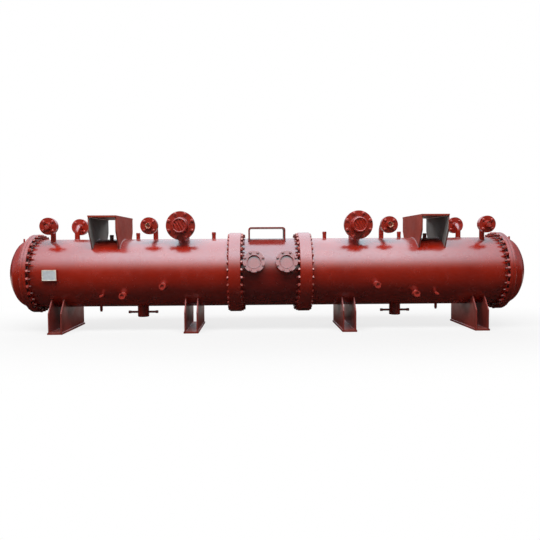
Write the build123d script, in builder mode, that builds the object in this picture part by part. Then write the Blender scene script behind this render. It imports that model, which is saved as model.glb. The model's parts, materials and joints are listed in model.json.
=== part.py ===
from build123d import *
from dataclasses import dataclass
import math
import os

# Falling film evaporator: two horizontal shells bolted to a middle water chamber,
# standing on four saddles. X runs along the vessel, -Y is the front, Z is up from the ground.

# Vessel
axis_height = 690
shell_diameter = 820
shell_wall = 10
shell_length = 2307
chamber_length = 690
chamber_flange_thickness = 70
centre_tubesheet_thickness = 71
centre_ring_overhang = 72
end_tubesheet_thickness = 38
head_flange_thickness = 33
end_ring_overhang = 62
ring_chamfer = 5
head_straight = 25
head_crown_radius = 600
head_knuckle_radius = 140
head_vent_share = 0.44
head_vent_diameter = 20
head_vent_rise = 12
weld_gap = 0.3

# Places along a shell are shares of its length, counted from the middle of the vessel outwards

# Saddles
saddle_shares = (0.191, 0.871)
saddle_base_width = 172
saddle_base_overhang = 12
saddle_base_thickness = 20
saddle_plate_thickness = 14
saddle_front_ledge = 12
saddle_end_ledge = 8
saddle_shoulder_height = 243
saddle_wrap_angle = 90
anchor_hole_diameter = 26
anchor_edge_distance = 52

# Support brackets on top of the shells
bracket_share = 0.625
bracket_width = 326
bracket_overhang = 13
bracket_rise = 273
bracket_top_thickness = 20
bracket_ledge = 13
bracket_side_thickness = 15
bracket_skirt = 163
bracket_wrap_angle = 90

# Bent bracket on top of the chamber
centre_bracket_x = -33
centre_bracket_width = 446
centre_bracket_depth = 350
centre_bracket_rise = 136
centre_bracket_plate = 16
centre_bracket_bend = 34

# Small refrigerant lines: pipe, elbow and flange pair
nozzle_rise = 155
small_pipe_diameter = 60.3
small_pipe_wall = 5
small_elbow_radius = 76
small_flange_diameter = 200
small_flange_thickness = 30
small_raised_diameter = 112
small_hub_base_wall = 13
small_hub_end_wall = 6
small_hub_length = 60
raised_face_height = 2.5
socket_clearance = 0.5
socket_depth = 26
outer_nozzle_share = 0.908
outer_nozzle_y = -149
rear_nozzle_share = 0.806
rear_nozzle_y = 0
long_nozzle_share = 0.4035
long_nozzle_y = 140
short_run = 22
long_run = 299

# Suction lines with a covered hub
suction_share = 0.2445
suction_y = 0
suction_run = 112
suction_pipe_diameter = 139.7
suction_pipe_wall = 7
suction_elbow_radius = 127
suction_flange_diameter = 338
suction_flange_thickness = 28
suction_raised_diameter = 220
suction_hub_base_diameter = 188
suction_hub_end_diameter = 156
suction_hub_wall = 9
suction_hub_length = 95
cover_recess = 9
cover_thickness = 10
cover_clearance = 0.3
cover_rib_width = 25
cover_rib_height = 8
cover_rib_flank = 45
cover_rib_pitch = 33
cover_rib_count = 4
cover_rib_slant = 28

# Water connections on the front of the chamber
water_end_gap = 30
water_elevation = 17
water_pipe_diameter = 159
water_pipe_wall = 6.5
water_neck = 25
water_flange_diameter = 254
water_flange_thickness = 25
water_raised_diameter = 202
water_recess_depth = 23

# Plugged couplings on top of the shells
top_coupling_shares = (0.0845, 0.4855, 0.625)
top_coupling_heights = (82, 77, 54)
top_coupling_diameter = 46
top_plug_diameter = 36
top_coupling_body_share = 0.62

# Plugged couplings low on the front of the shells
front_coupling_shares = (0.328, 0.533)
front_coupling_drop_shares = (0.333, 0.604)
front_coupling_diameter = 74
front_coupling_standoff = 95
front_coupling_recess_diameter = 46
front_coupling_recess_depth = 12
gauge_coupling_share = 0.6385
gauge_coupling_drop_share = 0.606
gauge_coupling_diameter = 30
gauge_coupling_standoff = 92
gauge_plug_diameter = 22
gauge_plug_length = 18

# Drain stubs and oil sumps under the shells
stub_share = 0.688
stub_diameter = 34
stub_drop = 52
stub_plug_diameter = 25
stub_plug_length = 14
sump_share = 0.4645
sump_diameter = 137
sump_wall = 6
sump_floor = 8
sump_rounding = 9
sump_drop = 131
drain_rise = 58
drain_length = 112
drain_pipe_diameter = 27
drain_pipe_bore = 16
drain_coupling_diameter = 35
drain_coupling_length = 30

# Bare nameplate on a bent stand-off
nameplate_share = 0.8895
nameplate_rise = -2
nameplate_width = 163
nameplate_length = 124
nameplate_thickness = 3
nameplate_offset = 24
standoff_margin = 6
standoff_sheet = 3
standoff_bend = 8

# How far out from the axis a root is started before it is cut to the vessel's round
root_share = 0.7

# Radii, depths and heights that follow from the vessel
shell_radius = shell_diameter / 2
bore_radius = shell_radius - shell_wall
seat_radius = shell_radius + weld_gap
root_rise = shell_radius * root_share
shell_top = axis_height + shell_radius
shell_bottom = axis_height - shell_radius
centre_ring_diameter = shell_diameter + 2 * centre_ring_overhang
end_ring_diameter = shell_diameter + 2 * end_ring_overhang
saddle_base_depth = shell_diameter + 2 * saddle_base_overhang
bracket_depth = shell_diameter + 2 * bracket_overhang
bracket_seat_height = shell_top + bracket_rise
bracket_underside = bracket_seat_height - bracket_top_thickness
centre_bracket_height = shell_top + centre_bracket_rise
nozzle_height = shell_top + nozzle_rise
water_face_radius = shell_radius + water_neck + 2 * (water_flange_thickness + raised_face_height)
stub_bottom_height = shell_bottom - stub_drop
sump_bottom_height = shell_bottom - sump_drop
drain_height = sump_bottom_height + drain_rise
drain_reach = sump_diameter / 2 + drain_length
nameplate_height = axis_height + nameplate_rise
nameplate_front = shell_radius + nameplate_offset

# Stations along the vessel, measured from the middle
chamber_end = chamber_length / 2
tubesheet_start = chamber_end + chamber_flange_thickness
shell_start = tubesheet_start + centre_tubesheet_thickness
shell_end = shell_start + shell_length
head_flange_start = shell_end + end_tubesheet_thickness
head_start = head_flange_start + head_flange_thickness
water_x = chamber_end - water_end_gap - water_flange_diameter / 2
knuckle_offset = shell_radius - head_knuckle_radius
crown_offset = math.sqrt((head_crown_radius - head_knuckle_radius) ** 2 - knuckle_offset**2)
head_depth = head_crown_radius - crown_offset
sides = {"left": -1, "right": 1}


@dataclass
class PipeLine:
    """Sizes of one kind of pipe line with a flange pair at its end."""

    diameter: float
    wall: float
    elbow_radius: float
    flange_diameter: float
    flange_thickness: float
    raised_diameter: float

    @property
    def bore(self):
        return self.diameter - 2 * self.wall

    @property
    def seat(self):
        """Distance from a flange's back face to its raised face."""
        return self.flange_thickness + raised_face_height


@dataclass
class Nozzle:
    """One bent nozzle: its line, the place of its riser, which way it faces, and its run past the elbow."""

    line: PipeLine
    x: float
    y: float
    facing: int
    run: float

    @property
    def back_y(self):
        """Back face of the nozzle's own flange."""
        return self.y + self.facing * (self.line.elbow_radius + self.run)

    def plane(self, from_back):
        """Plane across the flange pair, a distance in front of that back face."""
        origin = (self.x, self.back_y + self.facing * from_back, nozzle_height)
        return Plane(origin=origin, x_dir=(1, 0, 0), z_dir=(0, self.facing, 0))


small_line = PipeLine(
    small_pipe_diameter,
    small_pipe_wall,
    small_elbow_radius,
    small_flange_diameter,
    small_flange_thickness,
    small_raised_diameter,
)
suction_line = PipeLine(
    suction_pipe_diameter,
    suction_pipe_wall,
    suction_elbow_radius,
    suction_flange_diameter,
    suction_flange_thickness,
    suction_raised_diameter,
)


def along_shell(side, share):
    """X of a place on one shell."""
    return side * (shell_start + shell_length * share)


def small_nozzles(side):
    """The three small nozzles on one shell."""
    return {
        "outer": Nozzle(small_line, along_shell(side, outer_nozzle_share), outer_nozzle_y, -1, short_run),
        "rear": Nozzle(small_line, along_shell(side, rear_nozzle_share), rear_nozzle_y, 1, short_run),
        "long": Nozzle(small_line, along_shell(side, long_nozzle_share), long_nozzle_y, -1, long_run),
    }


def suction_nozzle(side):
    """The large suction nozzle on one shell."""
    return Nozzle(suction_line, along_shell(side, suction_share), suction_y, -1, suction_run)


def write(piece, name):
    """Label a finished piece and write it to its own file."""
    piece.part.label = name
    export_step(piece.part, f"parts/{name}.step")


def station(side, near, length):
    """Plane across the vessel at the low X end of a stretch on one side."""
    low_x = near if side > 0 else -near - length
    return Plane(origin=(low_x, 0, axis_height), x_dir=(0, 1, 0), z_dir=(1, 0, 0))


def front_plane(x, elevation, radius):
    """Plane square to the vessel's radius on its front, facing out."""
    angle = math.radians(elevation)
    outward = (0, -math.cos(angle), math.sin(angle))
    origin = (x, radius * outward[1], axis_height + radius * outward[2])
    return Plane(origin=origin, x_dir=(1, 0, 0), z_dir=outward)


def level_plane(x, drop, out):
    """Upright plane on the front of the vessel, facing out, a drop below its axis and so far out from it."""
    return Plane(origin=(x, -out, axis_height - drop), x_dir=(1, 0, 0), z_dir=(0, -1, 0))


def cut_to_vessel(x, width):
    """Cut the piece in hand to the vessel's round, a weld gap clear of it."""
    with Locations((x, 0, axis_height)):
        Cylinder(seat_radius, width, rotation=(0, 90, 0), mode=Mode.SUBTRACT)


def shell(side):
    """One shell, with the holes under its nozzles and over its sump."""
    with BuildPart() as piece:
        with BuildSketch(station(side, shell_start, shell_length)):
            Circle(shell_radius)
            Circle(bore_radius, mode=Mode.SUBTRACT)
        extrude(amount=shell_length)
        with BuildSketch(Plane.XY.offset(axis_height)):
            for nozzle in (*small_nozzles(side).values(), suction_nozzle(side)):
                with Locations((nozzle.x, nozzle.y)):
                    Circle(nozzle.line.bore / 2)
        extrude(amount=shell_diameter, mode=Mode.SUBTRACT)
        with BuildSketch(Plane.XY.offset(axis_height)):
            with Locations((along_shell(side, sump_share), 0)):
                Circle(sump_diameter / 2 - sump_wall)
        extrude(amount=-shell_diameter, mode=Mode.SUBTRACT)
    return piece


def centre_chamber():
    """Middle water chamber, with the holes behind its two water connections."""
    with BuildPart() as piece:
        with BuildSketch(station(1, -chamber_end, chamber_length)):
            Circle(shell_radius)
            Circle(bore_radius, mode=Mode.SUBTRACT)
        extrude(amount=chamber_length)
        with BuildSketch(front_plane(0, water_elevation, 0)):
            with Locations((-water_x, 0), (water_x, 0)):
                Circle(water_pipe_diameter / 2 - water_pipe_wall)
        extrude(amount=shell_diameter, mode=Mode.SUBTRACT)
    return piece


def ring(side, near, thickness, diameter, bore, outward):
    """Flange ring or tube sheet, its rim chamfered on the exposed face."""
    with BuildPart() as piece:
        with BuildSketch(station(side, near, thickness)):
            Circle(diameter / 2)
            if bore:
                Circle(bore / 2, mode=Mode.SUBTRACT)
        extrude(amount=thickness)
        rims = piece.edges().filter_by(GeomType.CIRCLE).group_by(SortBy.RADIUS)[-1].sort_by(Axis.X)
        exposed = rims[-1] if outward == (side > 0) else rims[0]
        chamfer(exposed, length=ring_chamfer)
    return piece


def head(side):
    """Dished head with a short straight skirt and a plugged vent on top."""
    vent_x = side * (head_start + head_straight + head_depth * head_vent_share)
    profile_plane = Plane(
        origin=(side * head_start, 0, axis_height), x_dir=(side, 0, 0), z_dir=(0, side, 0)
    )
    knuckle = Vector(head_straight, knuckle_offset)
    crown = Vector(head_straight - crown_offset, 0)
    outward = (knuckle - crown).normalized()
    halfway_up = (outward + Vector(0, 1)).normalized()
    halfway_out = (outward + Vector(1, 0)).normalized()
    with BuildPart() as piece:
        with BuildSketch(Plane.XY.offset(axis_height)):
            with Locations((vent_x, 0)):
                Circle(head_vent_diameter / 2)
        extrude(amount=shell_radius + head_vent_rise)
        for inset, mode in ((0, Mode.ADD), (shell_wall, Mode.SUBTRACT)):
            knuckle_radius = head_knuckle_radius - inset
            crown_radius = head_crown_radius - inset
            shoulder = knuckle + Vector(0, knuckle_radius)
            meeting = knuckle + outward * knuckle_radius
            tip = crown + Vector(crown_radius, 0)
            with BuildSketch(profile_plane):
                with BuildLine():
                    Polyline(tip, (0, 0), (0, shoulder.Y), shoulder)
                    ThreePointArc(shoulder, knuckle + halfway_up * knuckle_radius, meeting)
                    ThreePointArc(meeting, crown + halfway_out * crown_radius, tip)
                make_face()
            revolve(axis=Axis((0, 0, axis_height), (1, 0, 0)), mode=mode)
    return piece


def saddle_bases(side):
    """Base plates of the two saddles under one shell, with their anchor holes."""
    anchor_pitch = saddle_base_depth - 2 * anchor_edge_distance
    with BuildPart() as piece:
        with BuildSketch(Plane.XY):
            for share in saddle_shares:
                with Locations((along_shell(side, share), 0)):
                    Rectangle(saddle_base_width, saddle_base_depth)
                    with GridLocations(0, anchor_pitch, 1, 2):
                        Circle(anchor_hole_diameter / 2, mode=Mode.SUBTRACT)
        extrude(amount=saddle_base_thickness)
    return piece


def wrapped_plate_points(wrap_angle, depth, shoulder, far, sign):
    """Outline of a plate that cups the vessel from below or above and widens away from it."""
    half_wrap = math.radians(wrap_angle / 2)
    tip_y = bore_radius * math.sin(half_wrap)
    tip_z = axis_height + sign * bore_radius * math.cos(half_wrap)
    right = [(tip_y, tip_z), (depth / 2, shoulder), (depth / 2, far)]
    return right + [(-y, z) for y, z in reversed(right)]


def saddle_plates(side):
    """The four upright plates of the two saddles under one shell."""
    depth = saddle_base_depth - 2 * saddle_front_ledge
    reach = (saddle_base_width - saddle_plate_thickness) / 2 - saddle_end_ledge
    outline = wrapped_plate_points(
        saddle_wrap_angle, depth, saddle_shoulder_height, saddle_base_thickness, -1
    )
    with BuildPart() as piece:
        for share in saddle_shares:
            for end in (-1, 1):
                middle = along_shell(side, share) + end * reach
                with BuildSketch(Plane.YZ.offset(middle)):
                    with BuildLine():
                        Polyline(*outline, close=True)
                    make_face()
                    with Locations((0, axis_height)):
                        Circle(seat_radius, mode=Mode.SUBTRACT)
                extrude(amount=saddle_plate_thickness / 2, both=True)
    return piece


def bracket_top(side):
    """Seat plate on top of one shell's support bracket."""
    with BuildPart() as piece:
        with BuildSketch(Plane.XY.offset(bracket_seat_height)):
            with Locations((along_shell(side, bracket_share), 0)):
                Rectangle(bracket_width, bracket_depth)
        extrude(amount=-bracket_top_thickness)
    return piece


def bracket_sides(side):
    """The two upright plates that carry the seat plate on one shell."""
    depth = bracket_depth - 2 * bracket_ledge
    reach = (bracket_width - bracket_side_thickness) / 2
    outline = wrapped_plate_points(
        bracket_wrap_angle, depth, bracket_underside - bracket_skirt, bracket_underside, 1
    )
    with BuildPart() as piece:
        for end in (-1, 1):
            middle = along_shell(side, bracket_share) + end * reach
            with BuildSketch(Plane.YZ.offset(middle)):
                with BuildLine():
                    Polyline(*outline, close=True)
                make_face()
                with Locations((0, axis_height)):
                    Circle(seat_radius, mode=Mode.SUBTRACT)
            extrude(amount=bracket_side_thickness / 2, both=True)
    return piece


def centre_bracket():
    """Plate bent to an upside-down U over the top of the chamber."""
    half_width = centre_bracket_width / 2
    foot = axis_height + root_rise
    with BuildPart() as piece:
        with BuildSketch(Plane.XZ):
            with BuildLine():
                FilletPolyline(
                    (centre_bracket_x - half_width, foot),
                    (centre_bracket_x - half_width, centre_bracket_height),
                    (centre_bracket_x + half_width, centre_bracket_height),
                    (centre_bracket_x + half_width, foot),
                    radius=centre_bracket_bend,
                )
                offset(amount=centre_bracket_plate, side=Side.RIGHT)
            make_face()
        extrude(amount=centre_bracket_depth / 2, both=True)
        cut_to_vessel(centre_bracket_x, chamber_length)
    return piece


def bent_nozzle(nozzle):
    """Riser, elbow and flange of one nozzle, open all the way through."""
    line = nozzle.line
    root = axis_height + root_rise
    with BuildPart() as piece:
        with BuildLine(Plane.YZ.offset(nozzle.x)) as path:
            FilletPolyline(
                (nozzle.y, root),
                (nozzle.y, nozzle_height),
                (nozzle.back_y, nozzle_height),
                radius=line.elbow_radius,
            )
        with BuildSketch(Plane(origin=(nozzle.x, nozzle.y, root))):
            Circle(line.diameter / 2)
            Circle(line.bore / 2, mode=Mode.SUBTRACT)
        sweep(path=path.line)
        with BuildSketch(nozzle.plane(0)):
            Circle(line.flange_diameter / 2)
            Circle(line.bore / 2, mode=Mode.SUBTRACT)
        extrude(amount=line.flange_thickness)
        with BuildSketch(nozzle.plane(line.flange_thickness)):
            Circle(line.raised_diameter / 2)
            Circle(line.bore / 2, mode=Mode.SUBTRACT)
        extrude(amount=raised_face_height)
        cut_to_vessel(nozzle.x, shell_diameter)
    return piece


def counter_flanges(side):
    """Mating flanges of the three small nozzles, each with a hub that has a socket for its pipe."""
    with BuildPart() as piece:
        for nozzle in small_nozzles(side).values():
            line = nozzle.line
            face = 2 * line.seat
            with BuildSketch(nozzle.plane(line.seat)):
                Circle(line.raised_diameter / 2)
            extrude(amount=raised_face_height)
            with BuildSketch(nozzle.plane(line.seat + raised_face_height)):
                Circle(line.flange_diameter / 2)
            extrude(amount=line.flange_thickness)
            with Locations(nozzle.plane(face)):
                Cone(
                    line.diameter / 2 + small_hub_base_wall,
                    line.diameter / 2 + small_hub_end_wall,
                    small_hub_length,
                    align=(Align.CENTER, Align.CENTER, Align.MIN),
                )
            with BuildSketch(nozzle.plane(line.seat)):
                Circle(line.bore / 2)
            extrude(amount=line.seat + small_hub_length, mode=Mode.SUBTRACT)
            with BuildSketch(nozzle.plane(face + small_hub_length)):
                Circle(line.diameter / 2 + socket_clearance)
            extrude(amount=-socket_depth, mode=Mode.SUBTRACT)
    return piece


def suction_counter_flange(side):
    """Mating flange of the suction nozzle, with its long open hub."""
    nozzle = suction_nozzle(side)
    line = nozzle.line
    with BuildPart() as piece:
        with BuildSketch(nozzle.plane(line.seat)):
            Circle(line.raised_diameter / 2)
        extrude(amount=raised_face_height)
        with BuildSketch(nozzle.plane(line.seat + raised_face_height)):
            Circle(line.flange_diameter / 2)
        extrude(amount=line.flange_thickness)
        with Locations(nozzle.plane(2 * line.seat)):
            Cone(
                suction_hub_base_diameter / 2,
                suction_hub_end_diameter / 2,
                suction_hub_length,
                align=(Align.CENTER, Align.CENTER, Align.MIN),
            )
        with BuildSketch(nozzle.plane(line.seat)):
            Circle(line.bore / 2)
        extrude(amount=line.seat, mode=Mode.SUBTRACT)
        with BuildSketch(nozzle.plane(2 * line.seat)):
            Circle(suction_hub_end_diameter / 2 - suction_hub_wall)
        extrude(amount=suction_hub_length, mode=Mode.SUBTRACT)
    return piece


def suction_cover(side):
    """Disc with slanting ribs that closes the suction hub for transport."""
    nozzle = suction_nozzle(side)
    radius = suction_hub_end_diameter / 2 - suction_hub_wall - cover_clearance
    front = nozzle.plane(2 * nozzle.line.seat + suction_hub_length - cover_recess)
    slant = math.radians(cover_rib_slant)
    across = front.x_dir * math.cos(slant) + front.y_dir * math.sin(slant)
    rib_section = Plane(origin=front.origin, x_dir=across, z_dir=across.cross(front.z_dir))
    with BuildPart(mode=Mode.PRIVATE) as ribs:
        with BuildSketch(rib_section):
            with GridLocations(cover_rib_pitch, 0, cover_rib_count, 1):
                Trapezoid(
                    cover_rib_width, cover_rib_height, cover_rib_flank, align=(Align.CENTER, Align.MIN)
                )
        extrude(amount=radius, both=True)
        with BuildSketch(front):
            Circle(radius)
        extrude(amount=cover_rib_height, mode=Mode.INTERSECT)
    with BuildPart() as piece:
        with BuildSketch(front):
            Circle(radius)
        extrude(amount=-cover_thickness)
        add(ribs.part)
    return piece


def water_nozzle(side):
    """Short water connection with its flange, on the front of the chamber."""
    x = side * water_x
    cover_back = water_face_radius - water_flange_thickness - raised_face_height
    flange_back = cover_back - raised_face_height - water_flange_thickness
    pipe_bore = water_pipe_diameter - 2 * water_pipe_wall
    with BuildPart() as piece:
        with BuildSketch(front_plane(x, water_elevation, root_rise)):
            Circle(water_pipe_diameter / 2)
        extrude(amount=flange_back - root_rise)
        with BuildSketch(front_plane(x, water_elevation, flange_back)):
            Circle(water_flange_diameter / 2)
        extrude(amount=water_flange_thickness)
        with BuildSketch(front_plane(x, water_elevation, flange_back + water_flange_thickness)):
            Circle(water_raised_diameter / 2)
        extrude(amount=raised_face_height)
        with BuildSketch(front_plane(x, water_elevation, root_rise)):
            Circle(pipe_bore / 2)
        extrude(amount=cover_back - root_rise, mode=Mode.SUBTRACT)
        cut_to_vessel(x, chamber_length)
    return piece


def water_cover(side):
    """Blank flange bolted over a water connection, with a round recess in its face."""
    x = side * water_x
    back = water_face_radius - water_flange_thickness
    pipe_bore = water_pipe_diameter - 2 * water_pipe_wall
    with BuildPart() as piece:
        with BuildSketch(front_plane(x, water_elevation, back - raised_face_height)):
            Circle(water_raised_diameter / 2)
        extrude(amount=raised_face_height)
        with BuildSketch(front_plane(x, water_elevation, back)):
            Circle(water_flange_diameter / 2)
        extrude(amount=water_flange_thickness)
        with BuildSketch(front_plane(x, water_elevation, water_face_radius)):
            Circle(pipe_bore / 2)
        extrude(amount=-water_recess_depth, mode=Mode.SUBTRACT)
    return piece


def top_couplings(side):
    """Plugged couplings along the top line of one shell."""
    with BuildPart() as piece:
        for share, height in zip(top_coupling_shares, top_coupling_heights):
            x = along_shell(side, share)
            body_top = shell_top + height * top_coupling_body_share
            with BuildSketch(Plane.XY.offset(axis_height + root_rise)):
                with Locations((x, 0)):
                    Circle(top_coupling_diameter / 2)
            extrude(amount=body_top - axis_height - root_rise)
            with BuildSketch(Plane.XY.offset(body_top)):
                with Locations((x, 0)):
                    Circle(top_plug_diameter / 2)
            extrude(amount=height * (1 - top_coupling_body_share))
            cut_to_vessel(x, shell_diameter)
    return piece


def lower_couplings(side):
    """Plugged couplings low on the front of one shell, and its bottom drain stub."""
    gauge_x = along_shell(side, gauge_coupling_share)
    stub_x = along_shell(side, stub_share)
    with BuildPart() as piece:
        for share, drop_share in zip(front_coupling_shares, front_coupling_drop_shares):
            x = along_shell(side, share)
            drop = shell_radius * drop_share
            skin = math.sqrt(shell_radius**2 - drop**2)
            face = skin + front_coupling_standoff
            with BuildSketch(level_plane(x, drop, skin * root_share)):
                Circle(front_coupling_diameter / 2)
            extrude(amount=face - skin * root_share)
            with BuildSketch(level_plane(x, drop, face)):
                Circle(front_coupling_recess_diameter / 2)
            extrude(amount=-front_coupling_recess_depth, mode=Mode.SUBTRACT)
        gauge_drop = shell_radius * gauge_coupling_drop_share
        gauge_skin = math.sqrt(shell_radius**2 - gauge_drop**2)
        gauge_face = gauge_skin + gauge_coupling_standoff
        with BuildSketch(level_plane(gauge_x, gauge_drop, gauge_skin * root_share)):
            Circle(gauge_coupling_diameter / 2)
        extrude(amount=gauge_face - gauge_skin * root_share)
        with BuildSketch(level_plane(gauge_x, gauge_drop, gauge_face)):
            Circle(gauge_plug_diameter / 2)
        extrude(amount=gauge_plug_length)
        with BuildSketch(Plane.XY.offset(stub_bottom_height)):
            with Locations((stub_x, 0)):
                Circle(stub_diameter / 2)
        extrude(amount=axis_height - root_rise - stub_bottom_height)
        with BuildSketch(Plane.XY.offset(stub_bottom_height)):
            with Locations((stub_x, 0)):
                Circle(stub_plug_diameter / 2)
        extrude(amount=-stub_plug_length)
        cut_to_vessel(side * (shell_start + shell_length / 2), shell_length)
    return piece


def sump(side):
    """Round oil sump under one shell, with a drain pipe out of either side."""
    x = along_shell(side, sump_share)
    with BuildPart() as piece:
        with BuildSketch(Plane.XY.offset(sump_bottom_height)):
            with Locations((x, 0)):
                Circle(sump_diameter / 2)
        extrude(amount=axis_height - root_rise - sump_bottom_height)
        fillet(piece.faces().sort_by(Axis.Z)[0].edges(), radius=sump_rounding)
        with BuildSketch(Plane.YZ.offset(x)):
            with Locations((0, drain_height)):
                Circle(drain_pipe_diameter / 2)
        extrude(amount=drain_reach, both=True)
        for end in (-1, 1):
            with BuildSketch(Plane.YZ.offset(x + end * drain_reach)):
                with Locations((0, drain_height)):
                    Circle(drain_coupling_diameter / 2)
            extrude(amount=-end * drain_coupling_length)
        with BuildSketch(Plane.XY.offset(sump_bottom_height + sump_floor)):
            with Locations((x, 0)):
                Circle(sump_diameter / 2 - sump_wall)
        extrude(amount=axis_height - sump_bottom_height, mode=Mode.SUBTRACT)
        with BuildSketch(Plane.YZ.offset(x)):
            with Locations((0, drain_height)):
                Circle(drain_pipe_bore / 2)
        extrude(amount=drain_reach, both=True, mode=Mode.SUBTRACT)
        cut_to_vessel(x, shell_diameter)
    return piece


def nameplate_standoff():
    """Bent sheet that holds the nameplate off the shell."""
    x = along_shell(sides["left"], nameplate_share)
    half_width = nameplate_width / 2 + standoff_margin
    front = nameplate_thickness - nameplate_front
    with BuildPart() as piece:
        with BuildSketch(Plane.XY.offset(nameplate_height)):
            with BuildLine():
                FilletPolyline(
                    (x - half_width, -root_rise),
                    (x - half_width, front),
                    (x + half_width, front),
                    (x + half_width, -root_rise),
                    radius=standoff_bend,
                )
                offset(amount=standoff_sheet, side=Side.LEFT)
            make_face()
        extrude(amount=nameplate_length / 2 + standoff_margin, both=True)
        cut_to_vessel(x, shell_diameter)
    return piece


def nameplate():
    """Bare plate on the front of the stand-off."""
    with BuildPart() as piece:
        with BuildSketch(Plane.XZ.offset(nameplate_front)):
            with Locations((along_shell(sides["left"], nameplate_share), nameplate_height)):
                Rectangle(nameplate_width, nameplate_length)
        extrude(amount=-nameplate_thickness)
    return piece


os.makedirs("parts", exist_ok=True)

bore = 2 * bore_radius
write(centre_chamber(), "centre_chamber")
write(centre_bracket(), "centre_bracket")
write(nameplate_standoff(), "nameplate_standoff")
write(nameplate(), "nameplate")
for name, side in sides.items():
    write(shell(side), f"{name}_shell")
    write(
        ring(side, chamber_end, chamber_flange_thickness, centre_ring_diameter, bore, False),
        f"{name}_chamber_flange",
    )
    write(
        ring(side, tubesheet_start, centre_tubesheet_thickness, centre_ring_diameter, 0, True),
        f"{name}_centre_tubesheet",
    )
    write(
        ring(side, shell_end, end_tubesheet_thickness, end_ring_diameter, 0, False),
        f"{name}_end_tubesheet",
    )
    write(
        ring(side, head_flange_start, head_flange_thickness, end_ring_diameter, bore, True),
        f"{name}_head_flange",
    )
    write(head(side), f"{name}_head")
    write(saddle_bases(side), f"{name}_saddle_bases")
    write(saddle_plates(side), f"{name}_saddle_plates")
    write(bracket_top(side), f"{name}_bracket_top")
    write(bracket_sides(side), f"{name}_bracket_sides")
    for place, nozzle in small_nozzles(side).items():
        write(bent_nozzle(nozzle), f"{name}_{place}_nozzle")
    write(counter_flanges(side), f"{name}_counter_flanges")
    write(bent_nozzle(suction_nozzle(side)), f"{name}_suction_nozzle")
    write(suction_counter_flange(side), f"{name}_suction_counter_flange")
    write(suction_cover(side), f"{name}_suction_cover")
    write(water_nozzle(side), f"{name}_water_nozzle")
    write(water_cover(side), f"{name}_water_cover")
    write(top_couplings(side), f"{name}_top_couplings")
    write(lower_couplings(side), f"{name}_lower_couplings")
    write(sump(side), f"{name}_sump")
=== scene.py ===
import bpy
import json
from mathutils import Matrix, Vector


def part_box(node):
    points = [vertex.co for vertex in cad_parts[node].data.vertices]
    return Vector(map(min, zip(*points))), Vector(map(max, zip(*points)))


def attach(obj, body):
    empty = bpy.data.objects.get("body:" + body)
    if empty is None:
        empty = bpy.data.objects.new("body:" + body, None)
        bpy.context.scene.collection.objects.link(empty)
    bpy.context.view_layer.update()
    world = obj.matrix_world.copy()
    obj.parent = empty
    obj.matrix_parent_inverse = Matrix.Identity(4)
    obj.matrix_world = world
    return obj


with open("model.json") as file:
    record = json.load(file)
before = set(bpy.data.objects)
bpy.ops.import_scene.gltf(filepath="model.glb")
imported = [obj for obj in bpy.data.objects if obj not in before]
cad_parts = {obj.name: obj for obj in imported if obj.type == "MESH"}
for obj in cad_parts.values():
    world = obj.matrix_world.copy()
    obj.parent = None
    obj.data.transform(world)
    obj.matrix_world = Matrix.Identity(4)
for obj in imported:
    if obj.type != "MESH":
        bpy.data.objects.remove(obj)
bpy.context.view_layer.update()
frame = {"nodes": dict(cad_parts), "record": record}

import json
import logging
import math
from dataclasses import dataclass, replace
from enum import Enum
from typing import Any

import bmesh
import bpy
from bmesh.types import BMesh, BMVert
from bpy.types import Material, Mesh, Node, NodeOutputs, NodeSocket, NodeTree, World
from mathutils import Matrix, Vector

# Sizes are in metres, and angles in degrees unless a comment says otherwise
LOG = logging.getLogger("evaporator")
BODY = "root"
IMAGE_SIZE = 540
SIDES = {"left": -1, "right": 1}
NOZZLES = ("outer", "rear", "long")
SHELL_START = 0.486
SHELL_LENGTH = 2.307
WATER_ELEVATION = 17.0
HOOP_STEPS = 120
ARC_STEPS = 40
PIPE_STEPS = 48
# Share of the shell's length, and height, of each top coupling
TOP_COUPLINGS = ((0.0845, 0.082), (0.4855, 0.077), (0.625, 0.054))

Colour = tuple[float, float, float]
Point = tuple[float, float, float]
Range = tuple[Any, Any]
Profile = list[tuple[float, float]]
Path = tuple[list[Vector], bool]


class Slot(Enum):
    """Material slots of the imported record."""

    RED = "red_paint"
    BRACKET = "bracket_paint"
    PLATE = "nameplate_metal"


class Facing(Enum):
    """Outward direction of a flange face, as the turn in radians that takes +Z there."""

    RIGHT = (0.0, math.pi / 2, 0.0)
    LEFT = (0.0, -math.pi / 2, 0.0)
    FRONT = (math.pi / 2, 0.0, 0.0)
    BACK = (-math.pi / 2, 0.0, 0.0)


class Socket(Enum):
    """Kinds of sockets that the node groups have."""

    FLOAT = "NodeSocketFloat"
    WHOLE = "NodeSocketInt"
    VECTOR = "NodeSocketVector"
    COLOUR = "NodeSocketColor"
    OBJECT = "NodeSocketObject"
    MATERIAL = "NodeSocketMaterial"
    GEOMETRY = "NodeSocketGeometry"


def along_shell(side: int, share: float) -> float:
    """X of a place on the left (-1) or right (1) shell, by its share of the length from the middle."""
    return side * (SHELL_START + SHELL_LENGTH * share)


def box_middle(node: str) -> Vector:
    """Middle of a CAD node's box."""
    low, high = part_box(node)
    return (low + high) / 2


def turns_of(steps: int) -> list[float]:
    """Angles in radians of even steps round a full circle."""
    return [2 * math.pi * i / steps for i in range(steps)]


def opaque(colour: Colour) -> tuple[float, float, float, float]:
    """A colour with full cover."""
    return (*colour, 1.0)


def grey(level: float) -> tuple[float, float, float, float]:
    """A grey with full cover."""
    return opaque((level, level, level))


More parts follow.
